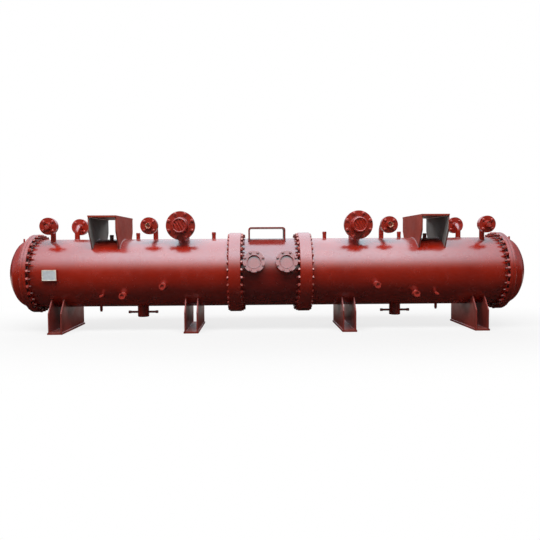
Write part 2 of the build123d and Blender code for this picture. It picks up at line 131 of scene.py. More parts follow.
class Tree:
    """A node tree with short calls to add nodes and link them."""

    def __init__(self, tree: NodeTree) -> None:
        """Keep the tree that the nodes go into."""
        self.tree = tree

    def feed(self, node: Node, inputs: dict[str | int, Any]) -> None:
        """Set inputs of a node.

        Args:
            node: The node.
            inputs: Values or sockets for its inputs, by name or number.
        """
        for key, value in inputs.items():
            if isinstance(value, NodeSocket):
                self.tree.links.new(value, node.inputs[key])
            else:
                node.inputs[key].default_value = value

    def add(self, kind: str, inputs: dict[str | int, Any] | None = None, **settings: Any) -> Node:
        """Add one node.

        Args:
            kind: The node's type name.
            inputs: Values or sockets for its inputs, by name or number.
            settings: Properties of the node itself.

        Returns:
            The new node.
        """
        node = self.tree.nodes.new(kind)
        for name, value in settings.items():
            setattr(node, name, value)
        self.feed(node, inputs or {})
        return node

    def out(
        self, kind: str, inputs: dict[str | int, Any] | None = None, output: str | int = 0, **settings: Any
    ) -> NodeSocket:
        """Add one node and give one of its outputs, the first unless another is named."""
        return self.add(kind, inputs, **settings).outputs[output]

    def place(self) -> NodeSocket:
        """Object coordinates."""
        return self.out("ShaderNodeTexCoord", output="Object")

    def axis(self, vector: NodeSocket, axis: str) -> NodeSocket:
        """The X, Y or Z of a vector."""
        return self.out("ShaderNodeSeparateXYZ", {0: vector}, axis)

    def math(self, operation: str, first: Any, second: Any = 0.0) -> NodeSocket:
        """The result of a sum with one or two values or sockets."""
        return self.out("ShaderNodeMath", {0: first, 1: second}, operation=operation)

    def ramp(self, value: NodeSocket, span: Range, to: Range = (0.0, 1.0)) -> NodeSocket:
        """Map a value smoothly from one span to another."""
        ends = {"From Min": span[0], "From Max": span[1], "To Min": to[0], "To Max": to[1]}
        return self.out("ShaderNodeMapRange", {"Value": value, **ends}, interpolation_type="SMOOTHSTEP")

    def blend(self, share: Any, first: Any, second: Any) -> NodeSocket:
        """Mix two colours, with as much of the second as the share says."""
        return self.out("ShaderNodeMix", {0: share, 6: first, 7: second}, 2, data_type="RGBA")

    def noise(self, vector: NodeSocket, scale: Any, detail: float) -> NodeSocket:
        """A noise pattern of so fine a scale and so many finer layers, about a half on average."""
        return self.out("ShaderNodeTexNoise", {"Vector": vector, "Scale": scale, "Detail": detail})

    def stretched(self, vector: NodeSocket, scale: Any) -> NodeSocket:
        """Coordinates with a scale for each axis."""
        return self.out("ShaderNodeMapping", {"Vector": vector, "Scale": scale})

    def bump(self, height: Any, distance: float, **under: Any) -> NodeSocket:
        """A normal that follows a height, over another normal where one is given as Normal."""
        return self.out("ShaderNodeBump", {"Height": height, "Distance": distance, **under})


def open_group(
    kind: str, name: str, inputs: dict[str, tuple[Socket, Any]], outputs: dict[str, Socket]
) -> tuple[Tree, NodeOutputs, Node]:
    """Start a node group.

    Args:
        kind: Type name of the tree.
        name: The group's name.
        inputs: Each input's kind and first value, None where it needs none.
        outputs: Each output's kind.

    Returns:
        The tree, what its inputs bring, and its output node.
    """
    group = bpy.data.node_groups.new(name, kind)
    for label, (socket, value) in inputs.items():
        made = group.interface.new_socket(name=label, in_out="INPUT", socket_type=socket.value)
        if value is not None:
            made.default_value = value
    for label, socket in outputs.items():
        group.interface.new_socket(name=label, in_out="OUTPUT", socket_type=socket.value)
    tree = Tree(group)
    return tree, tree.add("NodeGroupInput").outputs, tree.add("NodeGroupOutput")


class Effects:
    """Surface effects that several finishes share, each built once as a node group."""

    def __init__(self) -> None:
        """Build the groups."""
        self.skin = self.paint_skin()
        self.dust = self.settled_dust()
        self.wear = self.edge_wear()

    @staticmethod
    def paint_skin() -> NodeTree:
        """Sprayed paint: patchy tone, faint runs, uneven gloss, orange peel and the plate's waviness.

        Returns:
            The group.
        """
        tree, given, result = open_group("ShaderNodeTree", "paint_skin", {
            "Colour": (Socket.COLOUR, None),
            "Deep Colour": (Socket.COLOUR, None),
            "Gloss Low": (Socket.FLOAT, None),
            "Gloss High": (Socket.FLOAT, None),
            "Tone Scale": (Socket.FLOAT, 2.0),
            "Gloss Scale": (Socket.FLOAT, 11.0),
            "Peel Scale": (Socket.FLOAT, 240.0),
            "Wave Scale": (Socket.FLOAT, 4.5),
            "Run Scale": (Socket.VECTOR, (16.0, 16.0, 1.3)),
            "Run Share": (Socket.FLOAT, 0.45),
        }, {"Colour": Socket.COLOUR, "Roughness": Socket.FLOAT, "Peel": Socket.FLOAT, "Wave": Socket.FLOAT})
        place = tree.place()
        tone = tree.ramp(tree.noise(place, given["Tone Scale"], 4.0), (0.35, 0.68))
        patchy = tree.blend(tone, given["Colour"], given["Deep Colour"])
        hung = tree.stretched(place, given["Run Scale"])
        run = tree.ramp(tree.noise(hung, 1.0, 3.0), (0.56, 0.80), (0.0, given["Run Share"]))
        gloss = given["Gloss Low"], given["Gloss High"]
        tree.feed(result, {
            "Colour": tree.blend(run, patchy, given["Deep Colour"]),
            "Roughness": tree.ramp(tree.noise(place, given["Gloss Scale"], 4.0), (0.3, 0.7), gloss),
            "Peel": tree.noise(place, given["Peel Scale"], 2.0),
            "Wave": tree.noise(place, given["Wave Scale"], 1.0),
        })
        return tree.tree

    @staticmethod
    def settled_dust() -> NodeTree:
        """Fine dust on faces that look up, thicker in patches.

        Returns:
            The group.
        """
        tree, given, result = open_group("ShaderNodeTree", "settled_dust", {
            "Colour": (Socket.COLOUR, None),
            "Dust Colour": (Socket.COLOUR, (0.4, 0.34, 0.3, 1.0)),
            "Amount": (Socket.FLOAT, None),
            "Patch Scale": (Socket.FLOAT, 7.0),
        }, {"Colour": Socket.COLOUR})
        upward = tree.ramp(tree.axis(tree.out("ShaderNodeNewGeometry", output="Normal"), "Z"), (0.72, 1.0))
        patch = tree.ramp(tree.noise(tree.place(), given["Patch Scale"], 6.0), (0.3, 0.72), (0.25, 1.0))
        share = tree.math("MULTIPLY", tree.math("MULTIPLY", upward, patch), given["Amount"])
        tree.feed(result, {"Colour": tree.blend(share, given["Colour"], given["Dust Colour"])})
        return tree.tree

    @staticmethod
    def edge_wear() -> NodeTree:
        """Mask of rubbed edges, broken up by noise.

        Returns:
            The group.
        """
        tree, given, result = open_group("ShaderNodeTree", "edge_wear", {
            "Radius": (Socket.FLOAT, 0.004),
            "Break": (Socket.FLOAT, 30.0),
        }, {"Mask": Socket.FLOAT})
        rounded = tree.out("ShaderNodeBevel", {"Radius": given["Radius"]}, samples=4)
        flat = tree.out("ShaderNodeNewGeometry", output="Normal")
        meet = tree.out("ShaderNodeVectorMath", {0: rounded, 1: flat}, "Value", operation="DOT_PRODUCT")
        patch = tree.ramp(tree.noise(tree.place(), given["Break"], 5.0), (0.42, 0.64))
        tree.feed(result, {"Mask": tree.math("MULTIPLY", tree.ramp(meet, (0.80, 0.985), (1.0, 0.0)), patch)})
        return tree.tree


def new_material(name: str) -> tuple[Material, Tree, Node]:
    """Start a node material.

    Args:
        name: The material's name.

    Returns:
        The material, its tree and its Principled shader.
    """
    material = bpy.data.materials.new(name)
    material.use_nodes = True
    return material, Tree(material.node_tree), material.node_tree.nodes["Principled BSDF"]


@dataclass(frozen=True)
class PaintFinish:
    """Sprayed paint on steel, with another colour on inner faces where it has one."""

    name: str
    colour: Colour
    deep: Colour
    gloss: tuple[float, float] = (0.20, 0.28)
    ior: float = 2.5
    tint: Colour = (1.0, 1.0, 1.0)
    peel: float = 0.00003
    wave: float = 0.0006
    dust: float = 0.12
    wear: float = 0.35
    worn: Colour = (0.30, 0.09, 0.07)
    inner: Colour | None = None
    # Along X: middle of the plates with inner faces, half the room between them, and their thickness
    inner_at: Point = (0.0, 0.0, 0.0)

    def inside(self, tree: Tree) -> NodeSocket:
        """Mask of the faces that two plates turn to each other, alike at both ends of the vessel.

        Args:
            tree: The material's tree.

        Returns:
            One on those faces, none on the others.
        """
        middle, half, thickness = self.inner_at
        along = tree.math("ABSOLUTE", tree.axis(tree.place(), "X"))
        away = tree.math("ABSOLUTE", tree.math("SUBTRACT", along, middle))
        return tree.ramp(away, (half, half + thickness / 2), (1.0, 0.0))

    def build(self, effects: Effects) -> Material:
        """Make the material.

        Args:
            effects: The shared surface effects.

        Returns:
            The material.
        """
        material, tree, shader = new_material(self.name)
        skin = tree.add("ShaderNodeGroup", {
            "Colour": opaque(self.colour), "Deep Colour": opaque(self.deep),
            "Gloss Low": self.gloss[0], "Gloss High": self.gloss[1],
        }, node_tree=effects.skin).outputs
        edge = tree.math("MULTIPLY", tree.out("ShaderNodeGroup", node_tree=effects.wear), self.wear)
        rubbed = tree.blend(edge, skin["Colour"], opaque(self.worn))
        if self.inner is not None:
            rubbed = tree.blend(self.inside(tree), rubbed, opaque(self.inner))
        dusty = {"Colour": rubbed, "Amount": self.dust}
        tree.feed(shader, {
            "Base Color": tree.out("ShaderNodeGroup", dusty, node_tree=effects.dust),
            "Roughness": skin["Roughness"],
            "IOR": self.ior,
            "Specular Tint": opaque(self.tint),
            "Normal": tree.bump(skin["Peel"], self.peel, Normal=tree.bump(skin["Wave"], self.wave)),
        })
        return material


@dataclass(frozen=True)
class SatinMetal:
    """Bare metal with a drawn grain."""

    name: str
    colour: Colour
    dull: Colour
    metallic: float
    roughness: tuple[float, float]
    grain: Point
    cloud: float = 26.0
    wear: float = 0.4
    scratch: float = 0.00002

    def build(self, effects: Effects) -> Material:
        """Make the material.

        Args:
            effects: The shared surface effects.

        Returns:
            The material.
        """
        material, tree, shader = new_material(self.name)
        place = tree.place()
        line = tree.noise(tree.stretched(place, self.grain), 1.0, 3.0)
        cloud = tree.ramp(tree.noise(place, self.cloud, 4.0), (0.35, 0.7))
        tone = tree.blend(cloud, opaque(self.colour), opaque(self.dull))
        edge = tree.math("MULTIPLY", tree.out("ShaderNodeGroup", node_tree=effects.wear), self.wear)
        tree.feed(shader, {
            "Base Color": tree.blend(edge, tone, opaque(self.dull)),
            "Roughness": tree.ramp(line, (0.3, 0.7), self.roughness),
            "Metallic": self.metallic,
            "Normal": tree.bump(line, self.scratch),
        })
        return material


SUPPORT_PAINT = PaintFinish(
    "support_paint", (0.31, 0.040, 0.021), (0.235, 0.031, 0.017), (0.45, 0.58), ior=1.3, wave=0.0002
)
FASTENER_PAINT = PaintFinish(
    "fastener_paint", (0.36, 0.019, 0.013), (0.28, 0.015, 0.010), (0.16, 0.26), ior=3.2,
    tint=(1.0, 0.64, 0.56), wave=0.0,
)
FINISHES = (
    PaintFinish("red_shell_paint", (0.36, 0.0145, 0.003), (0.31, 0.012, 0.003)),
    # Darker than the shell paint, a painted shade: the chamber and the middle bracket look shaded by the
    # water covers and the rings
    PaintFinish("red_chamber_paint", (0.27, 0.012, 0.006), (0.235, 0.010, 0.0055)),
    PaintFinish("red_cover_paint", (0.30, 0.013, 0.007), (0.26, 0.011, 0.006), ior=3.1),
    PaintFinish(
        "bracket_paint", (0.25, 0.034, 0.024), (0.19, 0.027, 0.020), (0.32, 0.44), ior=1.55, wave=0.0002
    ),
    SUPPORT_PAINT,
    # Brighter than the shell paint, a painted light: the lower couplings and the drain stub look more
    # brightly lit than the lamps make them
    PaintFinish(
        "red_fitting_paint", (0.42, 0.040, 0.026), (0.35, 0.032, 0.022), (0.40, 0.50), ior=1.45, wave=0.0
    ),
    FASTENER_PAINT,
    # Lighter than the fastener paint, a painted highlight: the nozzle bolts, their thread ends and the socket
    # blanks look pale from the front
    replace(
        FASTENER_PAINT, name="nozzle_fastener_paint", colour=(0.50, 0.065, 0.052), deep=(0.42, 0.05, 0.04),
        gloss=(0.20, 0.30), ior=2.8, tint=(1.0, 0.70, 0.62),
    ),
    # Darker than the nuts, on the thread ends of the girth joints and of the water connections' nuts
    replace(
        FASTENER_PAINT, name="thread_paint", colour=(0.14, 0.014, 0.011), deep=(0.10, 0.011, 0.009),
        gloss=(0.20, 0.30), ior=2.4,
    ),
    # Dark paint for the gasket edges, a real dark joint, and for the painted shade rings under the nuts
    PaintFinish(
        "dark_joint", (0.030, 0.008, 0.007), (0.020, 0.007, 0.006), (0.40, 0.55), ior=1.4, wave=0.0, wear=0.1
    ),
    PaintFinish(
        "weld_paint", (0.30, 0.017, 0.009), (0.24, 0.014, 0.008), (0.24, 0.36), wave=0.0, peel=0.0002
    ),
    SatinMetal(
        "nameplate_satin", (0.63, 0.67, 0.69), (0.53, 0.56, 0.58), 0.15, (0.38, 0.52), (30.0, 30.0, 1500.0)
    ),
    SatinMetal(
        "nameplate_rim", (0.85, 0.80, 0.69), (0.72, 0.66, 0.56), 0.1, (0.3, 0.42), (200.0, 200.0, 200.0)
    ),
    SatinMetal(
        "socket_brass", (0.80, 0.57, 0.42), (0.66, 0.43, 0.30), 0.2, (0.28, 0.40), (300.0, 900.0, 300.0)
    ),
)


class Finishes:
    """All finishes of the evaporator, ready to put on pieces."""

    plate_thickness: float = 0.015
    inner_grey: Colour = (0.24, 0.245, 0.235)
    by_slot = {
        Slot.RED.value: "red_shell_paint",
        Slot.BRACKET.value: "bracket_paint",
        Slot.PLATE.value: "nameplate_satin",
    }
    # The lower couplings' brighter paint is a painted light
    by_piece = {
        "bracket_top": "support_paint", "bracket_sides": "support_side_paint",
        "water_cover": "red_cover_paint", "lower_couplings": "red_fitting_paint",
    }

    def __init__(self) -> None:
        """Build the materials."""
        effects = Effects()
        finishes = (*FINISHES, self.support_sides())
        self.made = {finish.name: finish.build(effects) for finish in finishes}
        # The chamber and the middle bracket take the darker paint, a painted shade
        self.by_node = {"centre_chamber": "red_chamber_paint", "centre_bracket": "red_chamber_paint"}
        for name in SIDES:
            self.by_node |= {f"{name}_{piece}": finish for piece, finish in self.by_piece.items()}

    def __getitem__(self, name: str) -> Material:
        """The material of that name."""
        return self.made[name]

    def support_sides(self) -> PaintFinish:
        """The support brackets' paint with grey on the faces that their side plates turn to each other.

        Returns:
            The finish.
        """
        low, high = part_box("right_bracket_sides")
        thickness = self.plate_thickness
        inner_at = (low.x + high.x) / 2, (high.x - low.x) / 2 - thickness, thickness
        return replace(SUPPORT_PAINT, name="support_side_paint", inner=self.inner_grey, inner_at=inner_at)

    def dress_cad(self) -> None:
        """Put each CAD node's finish on it, its own one or that of its slot in the record."""
        for row in frame["record"]["subparts"]:
            node = frame["nodes"][row["node"]]
            finish = self.by_node.get(row["node"], self.by_slot[row["material_slot"]])
            node.data.materials.clear()
            node.data.materials.append(self[finish])
            LOG.info("dressed %s in %s", row["node"], finish)


def mesh_from(work: BMesh, name: str) -> Mesh:
    """Keep a worked mesh as a plain one.

    Args:
        work: The worked mesh, which is freed.
        name: The plain mesh's name.

    Returns:
        The plain mesh.
    """
    mesh = bpy.data.meshes.new(name)
    work.to_mesh(mesh)
    work.free()
    return mesh


def ring_faces(work: BMesh, rings: list[list[BMVert]], steps: int) -> None:
    """Join rings of corners in a row, the last to the first, and turn the faces outwards.

    Args:
        work: The mesh that they are in.
        rings: The rings, each of one corner or as many as there are steps.
        steps: Corners in a full ring.
    """
    for low, high in zip(rings, rings[1:] + rings[:1]):
        if len(low) == 1 and len(high) == 1:
            continue
        for i in range(steps):
            sides = [ring[j % len(ring)] for ring, j in ((low, i), (low, i + 1), (high, i + 1), (high, i))]
            work.faces.new(list(dict.fromkeys(sides)))
    bmesh.ops.recalc_face_normals(work, faces=work.faces)


def turned_mesh(profile: Profile, steps: int, place: Matrix | None = None, smooth: bool = False) -> Mesh:
    """Turn a closed outline about Z.

    Args:
        profile: Radius and height of each corner, in order; radius zero closes on the axis.
        steps: Steps round the axis.
        place: Where it goes, when that isn't the origin.
        smooth: Whether it is shaded smooth.

    Returns:
        A closed mesh.
    """
    work = bmesh.new()
    rings = []
    for radius, height in profile:
        turns = turns_of(steps) if radius > 0.0 else [0.0]
        rings.append([work.verts.new((radius * math.cos(a), radius * math.sin(a), height)) for a in turns])
    ring_faces(work, rings, steps)
    mesh = mesh_from(work, "turned")
    for polygon in mesh.polygons:
        polygon.use_smooth = smooth
    if place is not None:
        mesh.transform(place)
    return mesh


def add_piece(name: str, meshes: list[Mesh], finish: Material, slot: Slot) -> None:
    """Join meshes to one piece that rides on the vessel.

    Args:
        name: The piece's name.
        meshes: What it is made of.
        finish: Its material.
        slot: Not used.
    """
    joined = bmesh.new()
    for mesh in meshes:
        joined.from_mesh(mesh)
    for face in joined.faces:
        face.material_index = 0
    data = mesh_from(joined, name)
    data.materials.append(finish)
    piece = bpy.data.objects.new(name, data)
    bpy.context.scene.collection.objects.link(piece)
    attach(piece, BODY)
    LOG.info("made %s with %d faces", name, len(data.polygons))


class GeometryTree(Tree):
    """A geometry tree that puts out plain faces in one finish."""

    def __init__(self, name: str, inputs: dict[str, tuple[Socket, Any]]) -> None:
        """Start the tree.

        Args:
            name: Its name.
            inputs: Kind and first value of each input, apart from the geometry and the finish.
        """
        ends = {"Geometry": (Socket.GEOMETRY, None), **inputs, "Finish": (Socket.MATERIAL, None)}
        made, self.given, self.result = open_group(
            "GeometryNodeTree", name, ends, {"Geometry": Socket.GEOMETRY}
        )
        super().__init__(made.tree)

    def turn(self, **angles: NodeSocket) -> NodeSocket:
        """Angles about X, Y and Z as one vector."""
        return self.out("ShaderNodeCombineXYZ", angles)

    def rotation(self, turn: Any) -> NodeSocket:
        """The rotation by a vector of angles."""
        return self.out("FunctionNodeEulerToRotation", {0: turn})

    def repeated(self, points: NodeSocket, **more: NodeSocket) -> NodeSocket:
        """The shape that the tree repeats, at every point."""
        shape = self.out("GeometryNodeObjectInfo", {"Object": self.given["Shape"]}, "Geometry")
        return self.out("GeometryNodeInstanceOnPoints", {"Points": points, "Instance": shape, **more})

    def moved(self, geometry: NodeSocket, turn: Any, to: Any = (0.0, 0.0, 0.0)) -> NodeSocket:
        """Geometry turned about the origin and moved from there."""
        inputs = {"Geometry": geometry, "Rotation": self.rotation(turn), "Translation": to}
        return self.out("GeometryNodeTransform", inputs)

    def close(self, geometry: NodeSocket) -> None:
        """Put out geometry as plain faces in the finish.

        Args:
            geometry: The geometry.
        """
        whole = self.out("GeometryNodeRealizeInstances", {0: geometry})
        inputs = {"Geometry": whole, "Material": self.given["Finish"]}
        self.feed(self.result, {0: self.out("GeometryNodeSetMaterial", inputs)})

    def run(self, values: dict[str, Any], base: Mesh | None = None) -> Mesh:
        """Run the tree and keep what it makes as a plain mesh.

        Args:
            values: Values for the tree's inputs, by name.
            base: The mesh that goes in, an empty one unless it is given.

        Returns:
            The made mesh.
        """
        carrier = bpy.data.objects.new("carrier", base or bpy.data.meshes.new("empty"))
        bpy.context.scene.collection.objects.link(carrier)
        modifier = carrier.modifiers.new("grow", "NODES")
        modifier.node_group = self.tree
        for item in self.tree.interface.items_tree:
            if item.item_type == "SOCKET" and item.in_out == "INPUT" and item.name in values:
                modifier[item.identifier] = values[item.name]
        depsgraph = bpy.context.evaluated_depsgraph_get()
        made = bpy.data.meshes.new_from_object(carrier.evaluated_get(depsgraph))
        carrier.modifiers.remove(modifier)
        bpy.data.objects.remove(carrier)
        return made

    def repeat(self, shape: Mesh, values: dict[str, Any]) -> Mesh:
        """Run the tree on a shape that it repeats.

        Args:
            shape: The shape.
            values: Values for the tree's other inputs, by name.

        Returns:
            The made mesh.
        """
        template = bpy.data.objects.new("template", shape)
        made = self.run({"Shape": template, **values})
        bpy.data.objects.remove(template)
        return made


class BoltTree(GeometryTree):
    """Geometry tree that sets bolt ends round a circle."""

    def __init__(self) -> None:
        """Build the tree."""
        super().__init__("bolt_circle", {
            "Shape": (Socket.OBJECT, None),
            "Count": (Socket.WHOLE, 8),
            "First": (Socket.WHOLE, 0),
            "Number": (Socket.WHOLE, 8),
            "Radius": (Socket.FLOAT, 0.1),
            "Phase": (Socket.FLOAT, 0.0),
            "Turn": (Socket.VECTOR, None),
            "Centre": (Socket.VECTOR, None),
        })
        value = self.given
        circle = self.out("GeometryNodeMeshCircle", {"Vertices": value["Count"], "Radius": value["Radius"]})
        index = self.out("GeometryNodeInputIndex")
        swing = self.math("MULTIPLY", index, self.math("DIVIDE", 2 * math.pi, value["Count"]))
        past = self.math("SUBTRACT", index, value["First"])
        begun = self.math("GREATER_THAN", past, -0.5)
        going = self.math("LESS_THAN", past, self.math("SUBTRACT", value["Number"], 0.5))
        chosen = self.math("MULTIPLY", begun, going)
        placed = self.repeated(circle, Selection=chosen, Rotation=self.rotation(self.turn(Z=swing)))
        spun = self.moved(placed, self.turn(Z=value["Phase"]))
        self.close(self.moved(spun, value["Turn"], value["Centre"]))


@dataclass(frozen=True)
class BoltEnd:
    """What shows of a bolt on one face: washer, hexagon and the end of its thread."""

    across_flats: float
    height: float
    washer: float
    thread: float
    proud: float
    bevel: float = 0.07
    pitch: float = 0.005
    overhang: float = 1.08
    groove: float = 0.88
    washer_steps: int = 14
    thread_steps: int = 8

    @property
    def top(self) -> float:
        """Height of the hexagon's top over the face."""
        return self.washer + self.height

    def nut(self) -> Mesh:
        """Build the washer and the hexagon.

        Returns:
            The mesh, standing on Z with its foot at zero.
        """
        corner = self.across_flats / math.sqrt(3)
        bevel = self.across_flats * self.bevel
        edge = corner * self.overhang
        work = bmesh.new()
        washer = [(0.0, 0.0), (edge, 0.0), (edge, self.washer), (0.0, self.washer)]
        work.from_mesh(turned_mesh(washer, self.washer_steps))
        hexagon = [
            (0.0, self.washer), (corner, self.washer), (corner, self.top - bevel), (corner - bevel, self.top),
            (0.0, self.top),
        ]
        work.from_mesh(turned_mesh(hexagon, 6))
        return mesh_from(work, "nut")

    def stud(self) -> Mesh:
        """Build the ridged end of the thread.

        Returns:
            The mesh, placed as the nut is.
        """
        foot, tip = self.top - self.pitch, self.top + self.proud
        ridges = max(1, round(self.proud / self.pitch))
        step = (self.proud + self.pitch) / (ridges + 1)
        groove = self.thread * self.groove
        profile = [(0.0, foot)]
        for i in range(ridges + 1):
            profile += [(groove, foot + i * step), (self.thread, foot + (i + 0.5) * step)]
        return turned_mesh(profile + [(groove, tip), (0.0, tip)], self.thread_steps)


@dataclass(frozen=True)
class BoltRing:
    """One circle of bolt ends on a flange face, or a run of places on it.

    The centre lies on the face, the turn in radians takes +Z to its outward direction, and the phase is
    the angle of the first place.
    """

    end: BoltEnd
    centre: Vector
    turn: Point
    radius: float
    count: int
    phase: float
    first: int = 0
    number: int | None = None


@dataclass
class BoltMaker:
    """Sets circles of bolt ends with the bolt tree."""

    tree: BoltTree
    finish: Material
    # Finish of the thread ends, darker than the nuts where it is the thread paint
    thread_finish: Material

    def circle(self, ring: BoltRing, shape: Mesh, finish: Material) -> Mesh:
        """Set one shape round a circle.

        Args:
            ring: The circle.
            shape: The shape, standing on Z with its foot at zero.
            finish: Its material.

        Returns:
            The mesh of all places that are filled.
        """
        return self.tree.repeat(shape, {
            "Count": ring.count, "First": ring.first,
            "Number": ring.count if ring.number is None else ring.number, "Radius": ring.radius,
            "Phase": math.radians(ring.phase), "Turn": ring.turn, "Centre": tuple(ring.centre),
            "Finish": finish,
        })

    def add(self, name: str, rings: list[BoltRing]) -> None:
        """Make the nuts and the thread ends of some circles as two pieces.

        Args:
            name: What the pieces' names start with.
            rings: The circles.
        """
        nuts = [self.circle(ring, ring.end.nut(), self.finish) for ring in rings]
        add_piece(f"{name}_bolts", nuts, self.finish, Slot.RED)
        threads = [self.circle(ring, ring.end.stud(), self.thread_finish) for ring in rings if ring.end.proud > 0.0]
        add_piece(f"{name}_threads", threads, self.thread_finish, Slot.RED)


def front_circle(centre: Vector, radius: float) -> Path:
    """A circle that faces the front."""
    turns = turns_of(PIPE_STEPS)
    return [centre + Vector((radius * math.cos(a), 0.0, radius * math.sin(a))) for a in turns], True


@dataclass
class Vessel:
    """The vessel's round, read from the CAD."""

    axis: float
    radius: float

    @classmethod
    def from_cad(cls) -> "Vessel":
        """Read the axis height and the shell's radius from the left shell."""
        low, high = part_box("left_shell")
        return cls((low.z + high.z) / 2, (high.z - low.z) / 2)

    def lying(self, x: float, side: int) -> Matrix:
        """The move that takes +Z to +X or -X, onto the axis at X."""
        return Matrix.Translation((x, 0.0, self.axis)) @ Matrix.Rotation(side * math.pi / 2, 4, "Y")

    def point(self, x: float, elevation: float, radius: float) -> Vector:
        """The point at X that lies so high over the front horizon and so far from the axis."""
        angle = math.radians(elevation)
        return Vector((x, -radius * math.cos(angle), self.axis + radius * math.sin(angle)))

    def hoop(self, x: float) -> Path:
        """A full circle round the shell."""
        return [self.point(x, 360 * i / HOOP_STEPS, self.radius) for i in range(HOOP_STEPS)], True

    def arc(self, x: float, middle: float, half: float) -> Path:
        """An arc on the shell, so many degrees to either side of its middle."""
        turns = (middle - half + 2 * half * i / ARC_STEPS for i in range(ARC_STEPS + 1))
        return [self.point(x, turn, self.radius) for turn in turns], False

    def root(self, x: float, elevation: float, pipe: float, aside: float = 0.0) -> Path:
        """Where a round pipe meets the shell.

        Args:
            x: Place of the pipe's axis along the vessel.
            elevation: Direction of the pipe's axis above the horizon on the front.
            pipe: The pipe's outer radius.
            aside: How far the pipe's axis passes the vessel's axis, to the back where the pipe stands up.

        Returns:
            The closed path.
        """
        angle = math.radians(elevation)
        out = Vector((0.0, -math.cos(angle), math.sin(angle)))
        across = Vector((0.0, math.sin(angle), math.cos(angle)))
        points = []
        for turn in turns_of(PIPE_STEPS):
            off = aside + pipe * math.sin(turn)
            rise = math.sqrt(self.radius ** 2 - off ** 2)
            points.append(Vector((x + pipe * math.cos(turn), 0.0, self.axis)) + out * rise + across * off)
        return points, True


class WeldTree(GeometryTree):
    """Geometry tree that lays a rippled weld bead along paths."""

    def __init__(self) -> None:
        """Build the tree."""
        super().__init__("weld_bead", {
            "Bead": (Socket.FLOAT, 0.006),
            "Pitch": (Socket.FLOAT, 0.012),
            "Ripple": (Socket.FLOAT, 0.12),
            "Uneven": (Socket.FLOAT, 0.5),
            "Lump Scale": (Socket.FLOAT, 30.0),
            "Steps": (Socket.FLOAT, 3.0),
        })
        value = self.given
        path = self.out("GeometryNodeMeshToCurve", {0: value["Geometry"]})
        step = self.math("DIVIDE", value["Pitch"], value["Steps"])
        even = self.out("GeometryNodeResampleCurve", {"Curve": path, "Length": step}, mode="LENGTH")
        along = self.out("GeometryNodeSplineParameter", output="Length")
        turn = self.math("MULTIPLY", self.math("DIVIDE", along, value["Pitch"]), 2 * math.pi)
        wave = self.math("MULTIPLY", self.math("SINE", turn), value["Ripple"])
        lumps = self.noise(self.out("GeometryNodeInputPosition"), value["Lump Scale"], 2.0)
        uneven = self.math("MULTIPLY", self.math("SUBTRACT", lumps, 0.5), value["Uneven"])
        swell = self.math("ADD", wave, uneven)
        round_bead = self.out("GeometryNodeCurvePrimitiveCircle", {"Resolution": 7, "Radius": value["Bead"]})
        scale = self.math("ADD", swell, 1.0)
        bead = self.out("GeometryNodeCurveToMesh", {
            "Curve": even, "Profile Curve": round_bead, "Scale": scale, "Fill Caps": True,
        })
        self.close(self.out("GeometryNodeSetShadeSmooth", {"Geometry": bead}))


@dataclass
class WeldMaker:
    """Lays weld beads with the weld tree."""

    tree: WeldTree
    finish: Material

    def add(self, name: str, paths: list[Path], bead: float, slot: Slot = Slot.RED) -> None:
        """Lay beads along paths as one piece.

        Args:
            name: The piece's name.
            paths: The paths, each with whether it closes.
            bead: Radius of the bead.
            slot: Passed on to add_piece.
        """
        points: list[Vector] = []
        edges: list[tuple[int, int]] = []
        for path, closed in paths:
            start = len(points)
            points.extend(path)
            edges.extend((start + i, start + i + 1) for i in range(len(path) - 1))
            if closed:
                edges.append((len(points) - 1, start))
        lines = bpy.data.meshes.new("weld_lines")
        lines.from_pydata([tuple(p) for p in points], edges, [])
        beads = self.tree.run({"Bead": bead, "Pitch": 2 * bead, "Finish": self.finish}, lines)
        add_piece(name, [beads], self.finish, slot)


